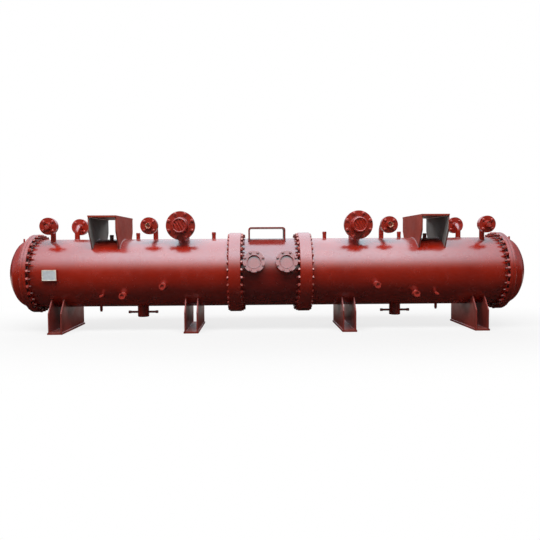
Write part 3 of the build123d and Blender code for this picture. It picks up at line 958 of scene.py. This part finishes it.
@dataclass
class GirthJoints:
    """Bolts, dark rings under the nuts that paint shade between them, and gasket edges of the four bolted
    girth joints.
    """

    vessel: Vessel
    bolts: BoltMaker
    # Dark paint of the gasket edges and of the painted shade rings under the nuts
    dark: Material
    count: int = 32
    circle: float = 0.450
    nut: BoltEnd = BoltEnd(0.044, 0.021, 0.004, 0.014, 0.021)
    short_nut: BoltEnd = replace(nut, proud=0.003)
    end_nut: BoltEnd = replace(nut, proud=0.026)
    head: BoltEnd = BoltEnd(0.036, 0.015, 0.004, 0.012, 0.0)
    low_head: BoltEnd = BoltEnd(0.030, 0.006, 0.002, 0.012, 0.0)
    behind_water: float = 16.875
    gasket: float = 0.003
    gasket_proud: float = 0.0006
    gasket_sunk: float = 0.002
    # The dark ring under the nuts is a painted shade in the gaps between them: inner radius, margin to the
    # flange's edge, thickness (seat) and bevel
    shade_ring_inner: float = 0.420
    shade_ring_edge: float = 0.004
    seat: float = 0.0025
    shade_ring_bevel: float = 0.001

    def ring(self, x: float, side: int, end: BoltEnd, first: int = 0, number: int | None = None) -> BoltRing:
        """Bolt ends on one face of a joint.

        Args:
            x: Where the face is.
            side: Which way it looks along X, 1 or -1.
            end: The bolt end.
            first: First place that is filled, the one behind the water connection being 0.
            number: How many places are filled.

        Returns:
            The circle.
        """
        turn = Facing.RIGHT.value if side > 0 else Facing.LEFT.value
        centre = Vector((x, 0.0, self.vessel.axis))
        phase = -90.0 - side * self.behind_water
        return BoltRing(end, centre, turn, self.circle, self.count, phase, first, number)

    def gasket_edge(self, x: float, radius: float) -> Mesh:
        """Rounded edge of the gasket between two rings.

        Args:
            x: Where the rings meet.
            radius: Their outer radius.

        Returns:
            The mesh.
        """
        half, sunk = self.gasket / 2, radius - self.gasket_sunk
        shoulder, crown = radius + self.gasket_proud / 2, radius + self.gasket_proud
        profile = [(sunk, -half), (shoulder, -half), (crown, 0.0), (shoulder, half), (sunk, half)]
        return turned_mesh(profile, HOOP_STEPS, self.vessel.lying(x, 1))

    def painted_shade_ring(self, x: float, side: int, radius: float) -> Mesh:
        """Dark ring under the nuts of one face, a painted shade in the gaps between the nuts.

        Args:
            x: Where the face is.
            side: Which way it looks along X, 1 or -1.
            radius: Outer radius of the flange.

        Returns:
            The mesh.
        """
        inner, outer, bevel = self.shade_ring_inner, radius - self.shade_ring_edge, self.shade_ring_bevel
        profile = [
            (inner, 0.0), (outer, 0.0), (outer, self.seat - bevel), (outer - bevel, self.seat),
            (inner + bevel, self.seat), (inner, self.seat - bevel),
        ]
        return turned_mesh(profile, HOOP_STEPS, self.vessel.lying(x, side))

    def build(self) -> None:
        """Make the bolts, the painted shade rings under the nuts and the gasket edges of the middle and the
        end joint on each side.
        """
        for name, side in SIDES.items():
            near, far = (
                sorted((corner.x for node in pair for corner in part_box(f"{name}_{node}")), key=abs)
                for pair in (("chamber_flange", "centre_tubesheet"), ("end_tubesheet", "head_flange"))
            )
            self.bolts.add(f"{name}_middle_joint", [
                self.ring(near[0], -side, self.short_nut, 0, 1),
                self.ring(near[0], -side, self.nut, 1, self.count - 1),
                self.ring(near[-1], side, self.head),
            ])
            self.bolts.add(f"{name}_end_joint", [
                self.ring(far[0], -side, self.end_nut), self.ring(far[-1], side, self.low_head),
            ])
            low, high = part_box(f"{name}_head_flange")
            radius = (high.z - low.z) / 2
            edges = [self.gasket_edge(joint[1], radius) for joint in (near, far)]
            add_piece(f"{name}_gasket_edges", edges, self.dark, Slot.RED)
            # Painted shade: dark rings under the nuts
            shade_ring_meshes = [self.painted_shade_ring(joint[0], -side, radius) for joint in (near, far)]
            add_piece(f"{name}_nut_rings", shade_ring_meshes, self.dark, Slot.RED)


@dataclass(frozen=True)
class NozzleFlange:
    """Sizes of one kind of nozzle: pipe radius, half the thickness of its flange pair, and its bolts."""

    pipe: float
    half_pair: float
    circle: float
    count: int
    end: BoltEnd


SMALL_FLANGE = NozzleFlange(0.03015, 0.0325, 0.0745, 4, BoltEnd(0.027, 0.014, 0.003, 0.008, 0.004, 0.2))
LARGE_FLANGE = NozzleFlange(0.06985, 0.0305, 0.1475, 8, BoltEnd(0.034, 0.018, 0.0035, 0.010, 0.005, 0.2))
FLANGES = {**dict.fromkeys(NOZZLES, SMALL_FLANGE), "suction": LARGE_FLANGE}


def nozzle_joint(name: str, place: str) -> tuple[Vector, int]:
    """Where a nozzle's flange meets its counter flange.

    Args:
        name: Side of the vessel.
        place: Which nozzle of that side.

    Returns:
        The middle of the joint, and which way along Y the nozzle looks, 1 or -1.
    """
    low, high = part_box(f"{name}_{place}_nozzle")
    radius = (high.x - low.x) / 2
    side = 1 if place == "rear" else -1
    return Vector(((low.x + high.x) / 2, high.y if side > 0 else low.y, high.z - radius)), side


@dataclass
class NozzleJoints:
    """Bolts, pipe socket linings and blanks, and suction cover rims of the bent nozzles."""

    bolts: BoltMaker
    liner: Material
    paint: Material
    pipe_bore: float = 0.02515
    liner_wall: float = 0.0012
    liner_gap: float = 0.0002
    liner_depth: float = 0.012
    blank_deep: float = 0.030
    blank_near: float = 0.012
    blank_crown: float = 0.003
    # Shares of the blank's radius and crown at the point between its edge and its middle
    blank_shoulder: tuple[float, float] = (0.7, 0.75)
    rim_profile: tuple[tuple[float, float], ...] = (
        (0.070, 0.0), (0.074, 0.003), (0.081, 0.0035), (0.0865, 0.001), (0.0895, -0.005), (0.0895, -0.013),
        (0.0865, -0.019), (0.080, -0.022),
    )

    @staticmethod
    def pair(name: str, place: str) -> list[BoltRing]:
        """Bolt ends on both faces of one flange pair.

        Args:
            name: Side of the vessel.
            place: Which nozzle of that side.

        Returns:
            The two circles.
        """
        flange = FLANGES[place]
        joint, _ = nozzle_joint(name, place)
        half = Vector((0.0, flange.half_pair, 0.0))
        bolts = flange.circle, flange.count, 180.0 / flange.count
        return [
            BoltRing(flange.end, joint - half, Facing.FRONT.value, *bolts),
            BoltRing(flange.end, joint + half, Facing.BACK.value, *bolts),
        ]

    def build(self) -> None:
        """Make the bolts of all nozzles, the sockets' linings and blanks, and the suction covers' rims."""
        mounts = {row["name"]: row for row in frame["record"]["mounts"]}
        for name in SIDES:
            self.bolts.add(f"{name}_nozzle", [ring for place in FLANGES for ring in self.pair(name, place)])
            lining = self.lining(mounts[f"{name}_long_pipe_socket"])
            add_piece(f"{name}_socket_lining", [lining], self.liner, Slot.PLATE)
            blanks = [
                self.blank(mounts[f"{name}_{place}_pipe_socket"], place == "long") for place in NOZZLES
            ]
            # The blanks take the lighter nozzle paint, a painted highlight
            add_piece(f"{name}_socket_blanks", blanks, self.bolts.finish, Slot.RED)
            rim = self.rim(f"{name}_suction_counter_flange")
            add_piece(f"{name}_suction_rim", [rim], self.paint, Slot.RED)

    @staticmethod
    def rounded(profile: Profile, place: Vector, facing: Facing) -> Mesh:
        """A smooth turned mesh that looks to the front or the back."""
        turn = Matrix.Rotation(facing.value[0], 4, "X")
        return turned_mesh(profile, PIPE_STEPS, Matrix.Translation(place) @ turn, smooth=True)

    def blank(self, mount: dict[str, Any], deep: bool) -> Mesh:
        """Crowned blank in one pipe socket.

        Args:
            mount: The socket's row in the record.
            deep: Whether it sits in the bore behind the socket.

        Returns:
            The mesh.
        """
        radius = (self.pipe_bore if deep else mount["dims"]["r_mm"] / 1000) - self.liner_gap
        crown, sunk = self.blank_crown, self.blank_deep if deep else self.blank_near
        axis = Vector(mount["axis"])
        place = Vector(mount["pos_m"]) + axis * (mount["dims"]["length_mm"] / 2000 - sunk)
        shoulder = radius * self.blank_shoulder[0], crown * self.blank_shoulder[1]
        profile = [(0.0, -crown), (radius, -crown), (radius, 0.0), shoulder, (0.0, crown)]
        return self.rounded(profile, place, Facing.FRONT if axis.y < 0.0 else Facing.BACK)

    def rim(self, node: str) -> Mesh:
        """Rounded rim that holds a suction cover on the end of its hub.

        Args:
            node: CAD node of the counter flange with the hub.

        Returns:
            The mesh.
        """
        place = box_middle(node)
        place.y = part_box(node)[0].y
        return self.rounded(list(self.rim_profile), place, Facing.FRONT)

    def lining(self, mount: dict[str, Any]) -> Mesh:
        """Thin unpainted lining of one pipe socket that faces the front, and of the bore behind it.

        Args:
            mount: The socket's row in the record.

        Returns:
            The mesh.
        """
        wall, half = self.liner_wall, mount["dims"]["length_mm"] / 2000
        outer = mount["dims"]["r_mm"] / 1000 - self.liner_gap
        inner, edge = outer - wall, wall / 2
        tube = self.pipe_bore - self.liner_gap
        seat, deep = self.liner_gap - half, -half - self.liner_depth
        profile = [
            (outer, seat), (outer, half - edge), (inner + edge, half - edge / 2), (inner, half - edge),
            (inner, seat + wall), (tube - wall, seat + wall), (tube - wall, deep), (tube, deep), (tube, seat),
        ]
        return self.rounded(profile, Vector(mount["pos_m"]), Facing.FRONT)


@dataclass
class WaterJoints:
    """Bolts and recess lips of the two water connections."""

    vessel: Vessel
    bolts: BoltMaker
    circle: float = 0.1135
    count: int = 8
    face: float = 0.490
    back: float = 0.435
    head: BoltEnd = BoltEnd(0.027, 0.018, 0.003, 0.008, 0.0, 0.12)
    nut: BoltEnd = BoltEnd(0.024, 0.012, 0.003, 0.008, 0.004)
    recess: float = 0.0732
    lip_width: float = 0.012
    lip_height: float = 0.004
    lip_sunk: float = 0.002
    lip_steps: int = 72
    lip_arc: int = 8

    def lip(self, front: Vector, lean: float) -> Mesh:
        """Rounded lip round the recess of one cover.

        Args:
            front: Middle of the cover's face.
            lean: Angle of the connection above the horizon, in radians.

        Returns:
            The mesh.
        """
        half = self.lip_width / 2
        middle = self.recess + half
        profile = [(self.recess, -self.lip_sunk), (self.recess + self.lip_width, -self.lip_sunk)]
        for angle in (math.pi * i / self.lip_arc for i in range(self.lip_arc + 1)):
            profile.append((middle + half * math.cos(angle), self.lip_height * math.sin(angle)))
        turn = Matrix.Rotation(math.pi / 2 - lean, 4, "X")
        return turned_mesh(profile, self.lip_steps, Matrix.Translation(front) @ turn, smooth=True)

    def build(self) -> None:
        """Make the bolt heads and lips on the covers and the nuts behind the flanges."""
        lean = math.radians(WATER_ELEVATION)
        rings, lips = [], []
        for name in SIDES:
            x = box_middle(f"{name}_water_cover").x
            front = self.vessel.point(x, WATER_ELEVATION, self.face)
            rear = self.vessel.point(x, WATER_ELEVATION, self.back)
            for end, place, turn in ((self.head, front, math.pi / 2), (self.nut, rear, -math.pi / 2)):
                facing = (turn - lean, 0.0, 0.0)
                rings.append(BoltRing(end, place, facing, self.circle, self.count, 180.0 / self.count))
            lips.append(self.lip(front, lean))
        self.bolts.add("water_connection", rings)
        add_piece("water_cover_lips", lips, self.bolts.finish, Slot.RED)


@dataclass
class Welds:
    """All visible weld beads."""

    vessel: Vessel
    maker: WeldMaker
    wrap: float = 44.6
    girth_bead: float = 0.008
    plate_bead: float = 0.006
    pipe_bead: float = 0.005
    fitting_bead: float = 0.003
    bracket_wall: float = 0.016
    hub_root: float = 0.094
    hub_length: float = 0.095
    water_pipe: float = 0.0795
    coupling: float = 0.023
    # How far to the back each riser stands from the vessel's axis
    risers: tuple[tuple[str, float], ...] = (
        ("outer", -0.149), ("rear", 0.0), ("long", 0.140), ("suction", 0.0)
    )
    # Share of the shell's length, share of its radius below the axis, and radius of each fitting in front
    lower: tuple[Point, ...] = ((0.328, 0.333, 0.037), (0.533, 0.604, 0.037), (0.6385, 0.606, 0.015))
    # Share of the shell's length, and radius, of the drain stub and the sump
    bottom: tuple[tuple[float, float], ...] = ((0.688, 0.017), (0.4645, 0.0685))

    def girth(self) -> list[Path]:
        """Where the shells, the chamber and the heads meet their rings.

        Returns:
            The paths.
        """
        ends = []
        for name, side in SIDES.items():
            ends += [corner.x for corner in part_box(f"{name}_shell")]
            ends.append(min((corner.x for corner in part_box(f"{name}_head")), key=abs))
            ends.append(side * max(side * corner.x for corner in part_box("centre_chamber")))
        return [self.vessel.hoop(x) for x in ends]

    def plates(self) -> list[Path]:
        """Along the saddles, the support brackets and the bent middle bracket.

        Returns:
            The paths.
        """
        paths = []
        for name in SIDES:
            saddle, bracket = f"{name}_saddle_plates", f"{name}_bracket_sides"
            bases_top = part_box(f"{name}_saddle_bases")[1].z
            for x in self.faces(saddle):
                paths += [self.vessel.arc(x, -90.0, self.wrap), self.cross_line(saddle, x, bases_top)]
            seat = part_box(f"{name}_bracket_top")[0].z
            faces = self.faces(bracket)
            for x in faces:
                paths.append(self.vessel.arc(x, 90.0, self.wrap))
                if x not in (faces[0], faces[-1]):
                    paths.append(self.cross_line(bracket, x, seat))
        low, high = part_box("centre_bracket")
        half = math.degrees(math.asin((high.y - low.y) / 2 / self.vessel.radius))
        walls = low.x, low.x + self.bracket_wall, high.x - self.bracket_wall, high.x
        return paths + [self.vessel.arc(x, 90.0, half) for x in walls]

    @staticmethod
    def faces(node: str) -> list[float]:
        """X of every plate face of a node of upright plates."""
        return sorted({round(v.co.x, 5) for v in frame["nodes"][node].data.vertices})

    @staticmethod
    def cross_line(node: str, x: float, z: float) -> Path:
        """A straight line across the vessel, as deep as a CAD node."""
        return [Vector((x, corner.y, z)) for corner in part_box(node)], False

    def pipes(self) -> list[Path]:
        """At the roots of the nozzles and water connections, and behind their flanges.

        Returns:
            The paths.
        """
        paths = []
        for name in SIDES:
            for place, aside in self.risers:
                flange = FLANGES[place]
                joint, side = nozzle_joint(name, place)
                paths.append(self.vessel.root(joint.x, 90.0, flange.pipe, aside))
                joint.y -= side * flange.half_pair
                paths.append(front_circle(joint, flange.pipe))
            low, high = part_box(f"{name}_suction_counter_flange")
            radius = (high.x - low.x) / 2
            hub = Vector((low.x + radius, low.y + self.hub_length, high.z - radius))
            paths.append(front_circle(hub, self.hub_root))
            water = box_middle(f"{name}_water_nozzle").x
            paths.append(self.vessel.root(water, WATER_ELEVATION, self.water_pipe))
        return paths

    def fittings(self) -> list[Path]:
        """Round the couplings, the drain stubs and the oil sumps.

        Returns:
            The paths.
        """
        root, paths = self.vessel.root, []
        for side in SIDES.values():
            paths += [root(along_shell(side, share), 90.0, self.coupling) for share, _ in TOP_COUPLINGS]
            for share, drop, pipe in self.lower:
                paths.append(root(along_shell(side, share), 0.0, pipe, -drop * self.vessel.radius))
            paths += [root(along_shell(side, share), -90.0, pipe) for share, pipe in self.bottom]
        return paths

    def build(self) -> None:
        """Make all beads."""
        self.maker.add("girth_welds", self.girth(), self.girth_bead)
        self.maker.add("plate_welds", self.plates(), self.plate_bead, Slot.BRACKET)
        self.maker.add("nozzle_welds", self.pipes(), self.pipe_bead)
        self.maker.add("fitting_welds", self.fittings(), self.fitting_bead)


@dataclass
class PlugHeads:
    """Hexagon heads of the plugs in the top couplings."""

    vessel: Vessel
    finish: Material
    across_flats: float = 0.044
    collar: float = 0.003
    body_share: float = 0.62
    proud: float = 0.001
    bevel: float = 0.1

    def build(self) -> None:
        """Make the heads of each side."""
        for name, side in SIDES.items():
            heads = []
            for share, height in TOP_COUPLINGS:
                tall = height * (1.0 - self.body_share) - self.collar + self.proud
                head = BoltEnd(self.across_flats, tall, self.collar, 0.0, 0.0, self.bevel).nut()
                seat = self.vessel.axis + self.vessel.radius + height * self.body_share
                head.transform(Matrix.Translation((along_shell(side, share), 0.0, seat)))
                heads.append(head)
            add_piece(f"{name}_plug_heads", heads, self.finish, Slot.RED)


class RivetTree(GeometryTree):
    """Geometry tree that sets a rivet near each corner of a plate."""

    def __init__(self) -> None:
        """Build the tree."""
        super().__init__("corner_rivets", {
            "Shape": (Socket.OBJECT, None),
            "Width": (Socket.FLOAT, 0.1),
            "Height": (Socket.FLOAT, 0.1),
            "Centre": (Socket.VECTOR, None),
        })
        size = {"Size X": self.given["Width"], "Size Y": self.given["Height"]}
        corners = self.out("GeometryNodeMeshGrid", {**size, "Vertices X": 2, "Vertices Y": 2})
        self.close(self.moved(self.repeated(corners), Facing.FRONT.value, self.given["Centre"]))


@dataclass
class Nameplate:
    """Raised rim and rivets of the bare nameplate."""

    finish: Material
    border: float = 0.010
    slope: float = 0.002
    proud: float = 0.0022
    rivet: float = 0.0042
    rivet_rise: float = 0.55
    rivet_steps: int = 12
    # Angles in radians up the side of a rivet's dome
    rivet_angles: Point = (0.0, 0.5, 1.0)
    inset: float = 0.016

    def rim(self, low: Vector, high: Vector) -> Mesh:
        """Frame round the plate with sloping inner and outer edges.

        Args:
            low: Lowest corner of the plate.
            high: Highest corner of the plate.

        Returns:
            The mesh.
        """
        section = (
            (0.0, 0.0), (self.slope, self.proud), (self.border - self.slope, self.proud), (self.border, 0.0)
        )
        work = bmesh.new()
        rings = []
        for inset, out in section:
            left, right, foot, top = low.x + inset, high.x - inset, low.z + inset, high.z - inset
            corners = (left, foot), (right, foot), (right, top), (left, top)
            rings.append([work.verts.new((x, low.y - out, z)) for x, z in corners])
        ring_faces(work, rings, 4)
        return mesh_from(work, "rim")

    def build(self) -> None:
        """Make the rim and the rivets."""
        low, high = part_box("nameplate")
        add_piece("nameplate_rim", [self.rim(low, high)], self.finish, Slot.PLATE)
        rise = self.rivet * self.rivet_rise
        dome = [(self.rivet * math.cos(a), rise * math.sin(a)) for a in self.rivet_angles]
        shape = turned_mesh([(0.0, 0.0), *dome, (0.0, rise)], self.rivet_steps, smooth=True)
        made = RivetTree().repeat(shape, {
            "Width": high.x - low.x - 2 * self.inset, "Height": high.z - low.z - 2 * self.inset,
            "Centre": ((low.x + high.x) / 2, low.y, (low.z + high.z) / 2), "Finish": self.finish,
        })
        add_piece("nameplate_rivets", [made], self.finish, Slot.PLATE)


@dataclass(frozen=True)
class Lamp:
    """A soft lamp that gives no highlight."""

    name: str
    place: Point
    aim: Point
    size: tuple[float, float]
    power: float

    def hang(self) -> None:
        """Put the lamp into the scene."""
        lamp = bpy.data.lights.new(self.name, "AREA")
        lamp.shape = "RECTANGLE"
        lamp.size, lamp.size_y = self.size
        lamp.energy = self.power
        holder = bpy.data.objects.new(self.name, lamp)
        turn = (Vector(self.aim) - Vector(self.place)).to_track_quat("-Z", "Y").to_matrix().to_4x4()
        holder.matrix_world = Matrix.Translation(self.place) @ turn
        holder.visible_camera = False
        holder.visible_glossy = False
        bpy.context.scene.collection.objects.link(holder)


@dataclass(frozen=True)
class Camera:
    """Camera at the photograph's place, as its lines gave it, with its focal length in pixels."""

    focal: float = 542.28
    eye: Point = (-0.15606, -6.69471, 1.04812)
    yaw: float = -1.387
    pitch: float = 2.876
    roll: float = 0.343

    def stand(self) -> None:
        """Put the camera into the scene."""
        lens = bpy.data.cameras.new("camera")
        lens.sensor_width = 36.0
        lens.lens = self.focal * lens.sensor_width / IMAGE_SIZE
        turn = Matrix.Rotation(math.radians(self.yaw), 3, "Z")
        pitch, roll = math.radians(self.pitch), math.radians(self.roll)
        right = turn @ Vector((1.0, 0.0, 0.0))
        forward = turn @ Vector((0.0, math.cos(pitch), -math.sin(pitch)))
        down = forward.cross(right)
        across = math.cos(roll) * right + math.sin(roll) * down
        below = math.cos(roll) * down - math.sin(roll) * right
        holder = bpy.data.objects.new("camera", lens)
        axes = Matrix((across, -below, -forward)).transposed().to_4x4()
        holder.matrix_world = Matrix.Translation(self.eye) @ axes
        bpy.context.scene.collection.objects.link(holder)
        bpy.context.scene.camera = holder


@dataclass
class Studio:
    """Floor, graded light dome, dim ground for the gloss, soft lamps and the camera."""

    dome_radius: float = 12.0
    dome_height: float = 0.7
    dome_peak: float = 2.6
    # Share of the way from the front horizon over the top to the back one, and the dome's colour there
    dome_stops: tuple[tuple[float, Colour], ...] = (
        (0.02, (0.010, 0.009, 0.007)), (0.08, (0.046, 0.041, 0.036)), (0.14, (0.22, 0.225, 0.21)),
        (0.20, (0.48, 0.56, 0.61)), (0.27, (0.60, 0.83, 0.94)), (0.40, (0.61, 0.89, 1.0)),
        (0.60, (0.63, 0.83, 0.94)), (0.78, (0.62, 0.75, 0.85)), (0.88, (0.48, 0.54, 0.60)),
        (0.97, (0.06, 0.06, 0.06)),
    )
    # Shares of the dome's radius along X between which it fades to so much of its peak
    dome_fade: Range = (0.3, 0.8)
    dome_ends: float = 0.12
    fill: float = 0.06
    ground_colour: Colour = (1.0, 0.90, 0.84)
    ground_front: float = 0.015
    ground_back: float = 0.60
    ground_fade: Range = (0.6, 2.4)
    ground_height: float = 0.004
    floor_reach: float = 60.0
    floor_stretch: Point = (0.5, 1.0, 1.0)
    floor_fade: Range = (1.0, 3.0)
    floor_seen: float = 0.60
    floor_glow: float = 0.75
    floor_bounce: float = 0.12
    lamps: tuple[Lamp, ...] = (
        Lamp("front_lamp", (-1.1, -4.0, 7.15), (-1.1, 0.0, 0.7), (12.0, 2.5), 930.0),
        Lamp("back_lamp", (0.0, 6.6, 4.2), (0.0, 0.0, 0.7), (12.0, 2.5), 560.0),
        Lamp("left_lamp", (-7.5, -3.0, 2.5), (-2.2, 0.0, 0.7), (3.0, 3.0), 115.0),
        Lamp("right_lamp", (7.5, -3.0, 2.5), (2.2, 0.0, 0.7), (3.0, 3.0), 60.0),
    )

    @staticmethod
    def seen(tree: Tree) -> NodeSocket:
        """Mask of the rays that see the background, straight on, in gloss or through glass.

        Args:
            tree: The tree of a material or the world.

        Returns:
            One for those rays.
        """
        path = tree.add("ShaderNodeLightPath").outputs
        gloss = tree.math("MAXIMUM", path["Is Glossy Ray"], path["Is Transmission Ray"])
        return tree.math("MAXIMUM", path["Is Camera Ray"], gloss)

    @staticmethod
    def empty_tree(owner: Material | World) -> Tree:
        """Start the tree of a material or a world with no nodes in it.

        Args:
            owner: The material or world.

        Returns:
            The tree.
        """
        owner.use_nodes = True
        owner.node_tree.nodes.clear()
        return Tree(owner.node_tree)

    @staticmethod
    def stand(mesh: Mesh, material: Material, gloss_only: bool) -> None:
        """Put a mesh into the studio, as no piece of the part.

        Args:
            mesh: The mesh, which gives the name.
            material: Its material.
            gloss_only: Whether only gloss sees it.
        """
        mesh.materials.append(material)
        thing = bpy.data.objects.new(mesh.name, mesh)
        bpy.context.scene.collection.objects.link(thing)
        if gloss_only:
            thing.visible_camera = False
            thing.visible_diffuse = False
            thing.visible_shadow = False

    @staticmethod
    def level_sheet(name: str, reach: float, height: float) -> Mesh:
        """A level square sheet.

        Args:
            name: The mesh's name.
            reach: How far it goes to each side.
            height: How high it lies.

        Returns:
            The mesh.
        """
        mesh = bpy.data.meshes.new(name)
        corners = ((-reach, -reach), (reach, -reach), (reach, reach), (-reach, reach))
        mesh.from_pydata([(x, y, height) for x, y in corners], [], [(0, 1, 2, 3)])
        return mesh

    def backdrop(self) -> None:
        """White world for eyes, gloss and glass, and a dim fill for the rest."""
        world = bpy.data.worlds.new("studio")
        bpy.context.scene.world = world
        tree = self.empty_tree(world)
        level = tree.math("MAXIMUM", self.seen(tree), self.fill)
        tree.add("ShaderNodeOutputWorld", {0: tree.out("ShaderNodeBackground", {0: grey(1.0), 1: level})})

    def dome(self) -> None:
        """Sky dome that gloss sees, bright and cool overhead, dim towards the front horizon and the ends."""
        material = bpy.data.materials.new("light_dome")
        tree = self.empty_tree(material)
        axes = tree.add("ShaderNodeSeparateXYZ", {0: tree.place()}).outputs
        rise = tree.math("SUBTRACT", axes["Z"], self.dome_height)
        turn = tree.math("ARCTAN2", rise, tree.math("MULTIPLY", axes["Y"], -1.0))
        grade = tree.add("ShaderNodeValToRGB", {0: tree.math("DIVIDE", turn, math.pi)})
        stops = grade.color_ramp.elements
        for i, (share, colour) in enumerate(self.dome_stops):
            stop = stops[i] if i < 1 else stops.new(share)
            stop.position, stop.color = share, opaque(colour)
        stops.remove(stops[-1])
        aside = tree.math("DIVIDE", tree.math("ABSOLUTE", axes["X"]), self.dome_radius)
        level = tree.ramp(aside, self.dome_fade, (self.dome_peak, self.dome_peak * self.dome_ends))
        glow = tree.out("ShaderNodeEmission", {0: grade.outputs[0], 1: level})
        tree.add("ShaderNodeOutputMaterial", {0: glow})
        work = bmesh.new()
        bmesh.ops.create_uvsphere(work, u_segments=48, v_segments=24, radius=self.dome_radius)
        bmesh.ops.translate(work, verts=work.verts, vec=(0.0, 0.0, self.dome_height))
        self.stand(mesh_from(work, "light_dome"), material, gloss_only=True)

    def floor(self) -> None:
        """Pale floor that keeps a soft shadow and fades to white away from the vessel."""
        material = bpy.data.materials.new("pale_floor")
        tree = self.empty_tree(material)
        flat = tree.stretched(tree.place(), self.floor_stretch)
        away = tree.out("ShaderNodeVectorMath", {0: flat}, "Value", operation="LENGTH")
        pale = tree.out("ShaderNodeBsdfDiffuse", {0: grey(self.floor_seen)})
        dim = tree.out("ShaderNodeBsdfDiffuse", {0: grey(self.floor_bounce)})
        white = tree.out("ShaderNodeEmission", {0: grey(1.0), 1: 1.0})
        far = tree.ramp(away, self.floor_fade, (self.floor_glow, 1.0))
        shown = tree.out("ShaderNodeMixShader", {0: far, 1: pale, 2: white})
        mixed = tree.out("ShaderNodeMixShader", {0: self.seen(tree), 1: dim, 2: shown})
        tree.add("ShaderNodeOutputMaterial", {0: mixed})
        self.stand(self.level_sheet("floor", self.floor_reach, 0.0), material, gloss_only=False)

    def ground(self) -> None:
        """Dim ground that only gloss sees, dark in front and grey behind."""
        material = bpy.data.materials.new("dim_ground")
        tree = self.empty_tree(material)
        back = tree.axis(tree.place(), "Y")
        level = tree.ramp(back, self.ground_fade, (self.ground_front, self.ground_back))
        dim = tree.out("ShaderNodeEmission", {0: opaque(self.ground_colour), 1: level})
        tree.add("ShaderNodeOutputMaterial", {0: dim})
        sheet = self.level_sheet("dim_ground", self.dome_radius, self.ground_height)
        self.stand(sheet, material, gloss_only=True)

    def build(self) -> None:
        """Set up the whole studio."""
        bpy.context.scene.view_settings.view_transform = "Standard"
        self.backdrop()
        self.dome()
        self.floor()
        self.ground()
        for lamp in self.lamps:
            lamp.hang()
        Camera().stand()


def main() -> None:
    """Dress the evaporator piece by piece and set up the studio."""
    logging.basicConfig(level=logging.INFO, format="%(message)s")
    Studio().build()
    finishes = Finishes()
    finishes.dress_cad()
    vessel = Vessel.from_cad()
    tree, thread = BoltTree(), finishes["thread_paint"]
    # The lighter nozzle paint is a painted highlight, on the bolts and their thread ends alike
    nozzle_highlight_paint = finishes["nozzle_fastener_paint"]
    GirthJoints(vessel, BoltMaker(tree, finishes["fastener_paint"], thread), finishes["dark_joint"]).build()
    nozzle_bolts = BoltMaker(tree, nozzle_highlight_paint, nozzle_highlight_paint)
    NozzleJoints(nozzle_bolts, finishes["socket_brass"], finishes["red_shell_paint"]).build()
    WaterJoints(vessel, BoltMaker(tree, finishes["red_cover_paint"], thread)).build()
    Welds(vessel, WeldMaker(WeldTree(), finishes["weld_paint"])).build()
    PlugHeads(vessel, finishes["red_shell_paint"]).build()
    Nameplate(finishes["nameplate_rim"]).build()


if __name__ == "__main__":
    main()
